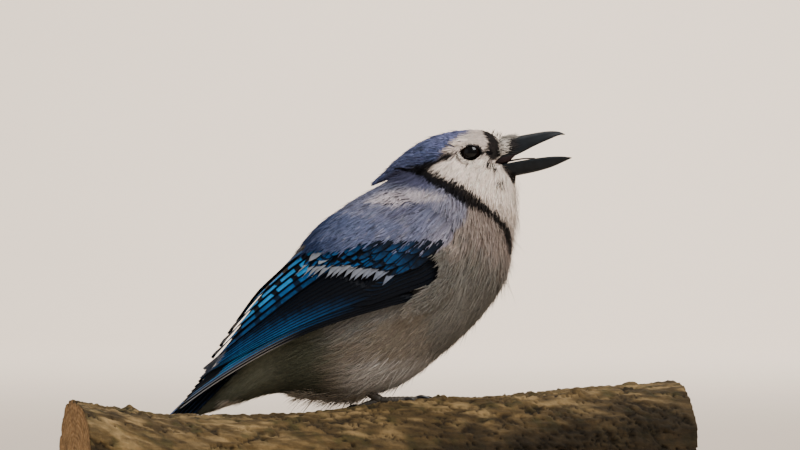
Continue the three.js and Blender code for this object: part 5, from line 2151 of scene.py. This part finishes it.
@dataclass
class Perch:
    """The cut branch with its bark."""

    perch_top: float
    finishes: Finishes
    radius: float = 24
    start: float = -134
    end: float = 132
    yaw: float = math.radians(20)
    offset_y: float = -12
    line: tuple[Point, ...] = ((-126, 3.0), (-92, -3.6), (-42, -3.8), (0, -0.6), (52, 3.2), (128, 8.0))
    rows: int = 340
    columns: int = 180
    plates: int = 190
    plate_stretch: float = 0.16
    feet_at: float = 4
    knots: tuple[tuple[float, float, float], ...] = (
        (-110, 0.1, 3.0), (24, 0.0, 1.8), (82, -0.4, 2.4), (112, 0.1, 1.8),
    )
    knot_radius: float = 3.2
    end_rings: int = 24

    def top(self, x: Array) -> Array:
        """Height of the branch's upper line over x, from the top under the feet."""
        dense = spline(np.array(self.line, float), np.linspace(0, len(self.line) - 1, 400))
        return np.interp(x, dense[:, 0], dense[:, 1])

    @property
    def along(self) -> Array:
        """The way the branch runs."""
        return np.array([math.cos(self.yaw), math.sin(self.yaw), 0])

    @property
    def side(self) -> Array:
        """The level way across the branch."""
        return np.array([-math.sin(self.yaw), math.cos(self.yaw), 0])

    def relief(self, distance: Array, angle: Array) -> Array:
        """The broad ridges and hollows, which fade out under the feet.

        Args:
            distance: Distance along the branch.
            angle: The angle from its top.

        Returns:
            How far the bark stands out there.
        """
        ridges = (
            0.5 * np.sin(3 * angle + distance / 19)
            + 0.3 * np.sin(5 * angle - distance / 13 + 1.7)
            + 0.4 * np.sin(distance / 11 + 2 * np.sin(angle))
        )
        return 0.9 * ridges * smooth(np.abs(distance - self.feet_at), 26, 44)

    def point(self, distance: Array, angle: Array, lift: Array | float = 0) -> Array:
        """Finds points on the branch.

        Args:
            distance: Distance along the branch.
            angle: The angle from its top.
            lift: Height over the bark's broad shape.

        Returns:
            The points in millimetres.
        """
        distance, angle, lift = np.broadcast_arrays(distance, angle, lift)
        radius = self.radius + self.relief(distance, angle) + lift
        x = distance * self.along[0]
        height = self.perch_top + self.top(x) - self.radius
        axis = np.stack([x, self.offset_y + distance * self.along[1], height], -1)
        out, rise = (radius * part(angle) for part in (np.sin, np.cos))
        return axis + out[..., None] * self.side + rise[..., None] * np.array([0, 0, 1.0])

    def cells(self, distance: Array, arc: Array) -> tuple[Array, Array, Array]:
        """Divides the bark in plates.

        Args:
            distance: Distance along the branch.
            arc: Distance around it.

        Returns:
            The distance to the nearest crack, and two random numbers for each plate.
        """
        rng = np.random.default_rng(SEED + 3)
        girth = 2 * np.pi * self.radius
        seeds = rng.uniform([self.start, 0], [self.end, girth], (self.plates, 2))
        values = rng.uniform(0, 1, (self.plates, 2))
        nearest, second = np.full((2, *distance.shape), 1e9)
        owner = np.zeros(distance.shape, int)
        for k, (x, y) in enumerate(seeds):
            gap = np.abs(arc - y)
            gap = np.minimum(gap, girth - gap)
            far = np.hypot((distance - x) * self.plate_stretch, gap)
            closer = far < nearest
            second = np.where(closer, nearest, np.minimum(second, far))
            owner = np.where(closer, k, owner)
            nearest = np.where(closer, far, nearest)
        return second - nearest, values[owner, 0], values[owner, 1]

    def sawn_end(self, ring: Array) -> Array:
        """Rings from the middle of a sawn end out to its edge."""
        middle, shares = ring.mean(0), np.linspace(0.05, 0.97, self.end_rings)
        return np.stack([middle + (ring - middle) * share for share in shares])

    def build(self) -> list[Piece]:
        """Builds the branch with its plates of bark and its sawn ends, the bark darkened with painted shade
        away from its top.
        """
        distance, angle = turned_grid(np.linspace(self.start, self.end, self.rows), self.columns)
        across, level = np.sin(angle) * self.radius, np.cos(angle) * self.radius
        bend = 6 * waves(distance + level, across, 46, 11)
        sway = 2.6 * waves(distance * 0.6 + level, across, 15, 21)
        arc = (angle * self.radius + sway) % (2 * np.pi * self.radius)
        crack, high, tint = self.cells(distance + bend, arc)
        rough = waves(distance * 0.5, level, 9, 12) + 0.5 * waves(distance * 0.4, across, 4, 13)
        fibre = waves(distance * 0.12 + level, across, 4.2, 17)
        patchy = smooth(waves(distance * 0.5, across + level, 20, 18), -1.1, -0.1)
        groove = smooth(crack, 0.75, 0.0) * patchy
        feet = smooth(np.abs(distance - self.feet_at), 34, 22) * smooth(np.cos(angle), 0.3, 0.8)
        lift = -0.25 - 1.6 * groove - 1.0 * (1 - high) * (1 - 0.7 * feet)
        lift = lift + (0.25 * rough + 0.3 * fibre) * (1 - feet)
        lip = np.exp(-((wrapped(angle) + 0.2) * 9) ** 2) * smooth(np.abs(distance - 8), 30, 18)
        lift = lift + lip * (1.2 + 0.5 * waves(distance, level, 7, 22))
        for place, turn, tall in self.knots:
            gap = ((distance - place) / self.knot_radius) ** 2 + wrapped(angle - turn) ** 2 * 60
            lift = lift + tall * np.exp(-gap)
        rings = self.point(distance, angle, lift)
        lichen = smooth(waves(distance, across + level, 34, 15), 0.0, 1.1) * 0.55
        pale = smooth(waves(distance * 0.3, across, 14, 16), -0.2, 0.9) * 0.7
        pale = pale * smooth(np.cos(angle), -0.4, 0.9)
        # Painted shade: the bark darkens down the sides and underneath, away from the lit top, a little more
        # towards the end ahead of the bird.
        shade = smooth(np.cos(angle) - 0.004 * distance, 0.75, -0.1) * 0.8
        colour = mix(linear(58, 45, 24), linear(124, 99, 60), tint * 0.6 + 0.2)
        for tone, share in (
            ((66, 64, 30), lichen),
            ((168, 138, 92), pale),
            ((40, 31, 17), smooth(fibre, 0.1, 1.2) * 0.55),
            ((20, 15, 9), groove * 0.85),
            ((24, 19, 10), shade),
        ):
            colour = mix(colour, linear(*tone), share)
        year_rings = (0.5 + 0.5 * np.sin(np.linspace(0, 60, self.end_rings)))[:, None]
        wood = np.repeat(mix(linear(190, 152, 104), linear(146, 110, 70), year_rings), self.columns, 1)
        rings = np.concatenate([self.sawn_end(rings[0]), rings, self.sawn_end(rings[-1])[::-1]])
        colour = np.concatenate([wood, colour, wood[::-1]])
        branch = loft("branch_bark", rings, self.finishes.bark, coat=opaque(colour))
        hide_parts("perch_branch")
        return [branch]


@dataclass
class Legs:
    """Both legs: scaly shanks, toes laid along the branch and curved claws.

    Each toe has its turn from straight ahead, its length, its radius and the length of its claw.
    """

    perch: Perch
    finishes: Finishes
    feet: tuple[tuple[int, Point], ...] = ((-1, (-2.0, -6.0)), (1, (4.6, 6.0)))
    ankle: tuple[float, float, float] = (28, 16.5, 10)
    shank: float = 1.5
    sunk: float = 1.0
    toes: tuple[tuple[float, float, float, float], ...] = (
        (0, 15.5, 1.35, 6.5),
        (math.radians(24), 11.5, 1.25, 5.8),
        (math.radians(-24), 13, 1.25, 5.8),
        (math.radians(180), 9.5, 1.45, 8),
    )

    def tube(
        self, name: str, knots: Array, radii: Sequence[float], rings: int = 0, scutes: float = 0
    ) -> Piece:
        """A limb through points, ringed by overlapping scales.

        Args:
            name: The piece's name.
            knots: Points of its middle line.
            radii: Its radius at each point.
            rings: Number of scales along it, or 0 for a smooth claw.
            scutes: Height of a scale's edge as a share of the radius.

        Returns:
            The new object.
        """
        places = np.linspace(0, len(knots) - 1, 90)
        line = spline(knots, places)
        radius = np.maximum(spline(np.array(radii, float)[:, None], places), 0.08)
        tangent = unit(np.gradient(line, axis=0))
        up = unit(np.array([0, 0, 1.0]) - tangent * tangent[:, 2:3])
        across = np.cross(tangent, up)
        angle = full_turn(18)[None, :, None]
        share = np.linspace(0, 1, 90)[:, None, None]
        saw = (share * rings) % 1 if rings else 0 * share
        front = smooth(np.sin(angle), -0.2, 0.6)
        radius = radius[:, None] * (1 + scutes * (saw - 0.5) * front)
        points = line[:, None] + radius * (np.cos(angle) * across[:, None] + np.sin(angle) * up[:, None])
        made = loft(name, points, self.finishes.leg if rings else self.finishes.claw)
        return made

    def toe(self, name: str, foot: Point, heading: float, sizes: Point, claw: float) -> list[Piece]:
        """Builds a toe and its claw.

        Args:
            name: The toe's name.
            foot: The foot's distance along the branch and angle from its top.
            heading: The toe's turn from the way the branch runs.
            sizes: The toe's length and radius.
            claw: The claw's length.

        Returns:
            The toe and the claw.
        """

        def laid(*stops: Point) -> Array:
            """Points at a run from the foot along the toe and a height over the bark."""
            run, lift = np.transpose(stops)
            around = foot[1] + run * math.sin(heading) / self.perch.radius
            return self.perch.point(foot[0] + run * math.cos(heading), around, lift - self.sunk)

        length, radius = sizes
        toe = laid(
            (-1.5, radius + 1.6),
            (length * 0.3, radius + 0.7),
            (length * 0.65, radius + 0.25),
            (length, radius * 0.9),
        )
        nail = laid(
            (length - 1.5, radius),
            (length + claw * 0.25, radius + 0.7),
            (length + claw * 0.65, radius + 0.1),
            (length + claw, 0.35),
        )
        toe_radii = (radius, radius * 1.02, radius * 0.95, radius * 0.8)
        nail_radii = (radius * 0.6, radius * 0.6, radius * 0.4, 0.12)
        return [
            self.tube(f"toe_{name}", toe, toe_radii, 9, 0.2),
            self.tube(f"claw_{name}", nail, nail_radii),
        ]

    def build(self) -> list[Piece]:
        """Builds the legs."""
        made = []
        for side, (x, y) in self.feet:
            name = side_name(side)
            spot = np.array([x, y - self.perch.offset_y, 0])
            foot = (spot @ self.perch.along, math.asin(spot @ self.perch.side / self.perch.radius))
            heel = self.perch.point(*foot, self.shank + 0.4)
            ankle = heel + np.array([-self.ankle[0], side * self.ankle[2] - heel[1], self.ankle[1]])
            knots = np.array([heel + (ankle - heel) * share for share in (0, 0.25, 0.6, 1)])
            radii = np.array([1.25, 1, 1, 1.3]) * self.shank
            shank = self.tube(f"shank_{name}", knots, radii, 16, 0.16)
            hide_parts(f"leg_{name}")
            made.append(shank)
            for k, (turn, length, radius, claw) in enumerate(self.toes):
                made += self.toe(f"{name}_{k}", foot, turn * side - self.perch.yaw, (length, radius), claw)
        return made


@dataclass
class Stand:
    """The plain base and rods, which keep their solids and get a finish."""

    finishes: Finishes

    def dress(self, nodes: dict[str, Piece]) -> None:
        """Gives the stand's nodes their finishes."""
        for name, node in nodes.items():
            if not name.startswith("stand_"):
                continue
            node.data.materials.clear()
            node.data.materials.append(self.finishes.steel if "rod" in name else self.finishes.wood)
            log.info("stand: %s", name)


@dataclass(frozen=True)
class Lamp:
    """A square lamp, in metres and watts."""

    name: str
    place: tuple[float, float, float]
    size: float
    power: float
    aim: tuple[float, float, float] = (0, 0, 0.13)


@dataclass
class Studio:
    """The floor, the light and the camera, with the floor's sizes in metres."""

    finishes: Finishes
    frame_middle: Point = (6.3, 147.5)
    frame_width: float = 336
    lens: float = 200
    sensor: float = 36
    backdrop: float = 3.6
    floor_front: float = -4.0
    floor_half: float = 5.0
    curve: float = 1.2
    wall_top: float = 5.5
    air: tuple[float, float, float, float] = (0.94, 0.94, 0.96, 1)
    air_strength: float = 0.35
    lamps: tuple[Lamp, ...] = (
        Lamp("key", (0.9, -1.0, 1.35), 0.8, 34.0),
        Lamp("top", (0.2, 0.3, 1.7), 1.0, 16.0),
        Lamp("fill", (-1.3, -1.2, 0.5), 1.4, 3.0),
        Lamp("backdrop", (0.3, 2.9, 2.6), 2.0, 170.0, (0.2, 4.7, 0.5)),
    )

    def build_floor(self) -> None:
        """A pale floor that curves up into a backdrop behind the model."""
        profile = [(self.floor_front, 0.0), (0.0, 0.0), (self.backdrop, 0.0)]
        bend = np.linspace(0.1, math.pi / 2, 14)
        profile += [(self.backdrop + self.curve * math.sin(a), self.curve * (1 - math.cos(a))) for a in bend]
        profile += [(self.backdrop + self.curve, self.wall_top)]
        x = np.linspace(-self.floor_half, self.floor_half, 4)
        points = np.array([[a, y, z] for y, z in profile for a in x]) * 1000
        faces, corners = grid_faces(len(profile), len(x), False)
        make_object("floor", points, faces, self.finishes.floor, corner_uv=corners)

    def build_lights(self) -> None:
        """A broad soft key from the upper right, a weak fill and pale air."""
        for lamp in self.lamps:
            data = bpy.data.lights.new(lamp.name, "AREA")
            data.size = lamp.size
            data.energy = lamp.power
            light = bpy.data.objects.new(lamp.name, data)
            light.location = lamp.place
            light.rotation_euler = (Vector(lamp.aim) - Vector(lamp.place)).to_track_quat("-Z", "Y").to_euler()
            bpy.context.scene.collection.objects.link(light)
        world = bpy.data.worlds.new("air")
        world.use_nodes = True
        world.node_tree.nodes["Background"].inputs[0].default_value = self.air
        world.node_tree.nodes["Background"].inputs[1].default_value = self.air_strength
        bpy.context.scene.world = world

    def build_camera(self) -> None:
        """A long lens level with the bird, square on to its right side."""
        data = bpy.data.cameras.new("camera")
        data.lens = self.lens
        data.sensor_width = self.sensor
        data.clip_end = 50
        camera = bpy.data.objects.new("camera", data)
        distance = self.lens * self.frame_width / self.sensor * MM
        x, z = self.frame_middle
        camera.location = (x * MM, -distance, z * MM)
        camera.rotation_euler = (math.pi / 2, 0, 0)
        bpy.context.scene.collection.objects.link(camera)
        bpy.context.scene.camera = camera

    def build(self) -> None:
        """Builds the studio."""
        self.build_floor()
        self.build_lights()
        self.build_camera()


def main() -> None:
    """Builds the bird, the perch, the stand and the studio."""
    logging.basicConfig(level=logging.INFO, format="%(message)s")
    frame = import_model()
    finishes = Finishes()
    bill_top = 112.9
    perch_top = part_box("bill_upper")[1].z / MM - bill_top
    log.info("perch top at %.2f mm", perch_top)
    body_shell = Shell(BODY_SECTIONS, perch_top)
    wing_shell = Shell(WING_SECTIONS, perch_top)
    crest_shell = Shell(CREST_SECTIONS, perch_top)
    perch = Perch(perch_top, finishes)
    bill = Bill(perch_top, finishes)
    makers: dict[str, Callable[[], list[Piece]]] = {
        "body": Body(body_shell, wing_shell, crest_shell, finishes).build,
        "wings": Wings(wing_shell, finishes).build,
        "tail": Tail(perch_top, finishes).build,
        "bill": bill.build,
        "bristles": Bristles(body_shell, bill, finishes).build,
        "eyes": Eyes(perch_top, finishes).build,
        "perch": perch.build,
        "legs": Legs(perch, finishes).build,
    }
    for name, build in makers.items():
        for piece in build():
            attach(piece, "root")
            log.info("%s: %s, %d faces", name, piece.name, len(piece.data.polygons))
    Stand(finishes).dress(frame["nodes"])
    Studio(finishes).build()


if __name__ == "__main__":
    main()
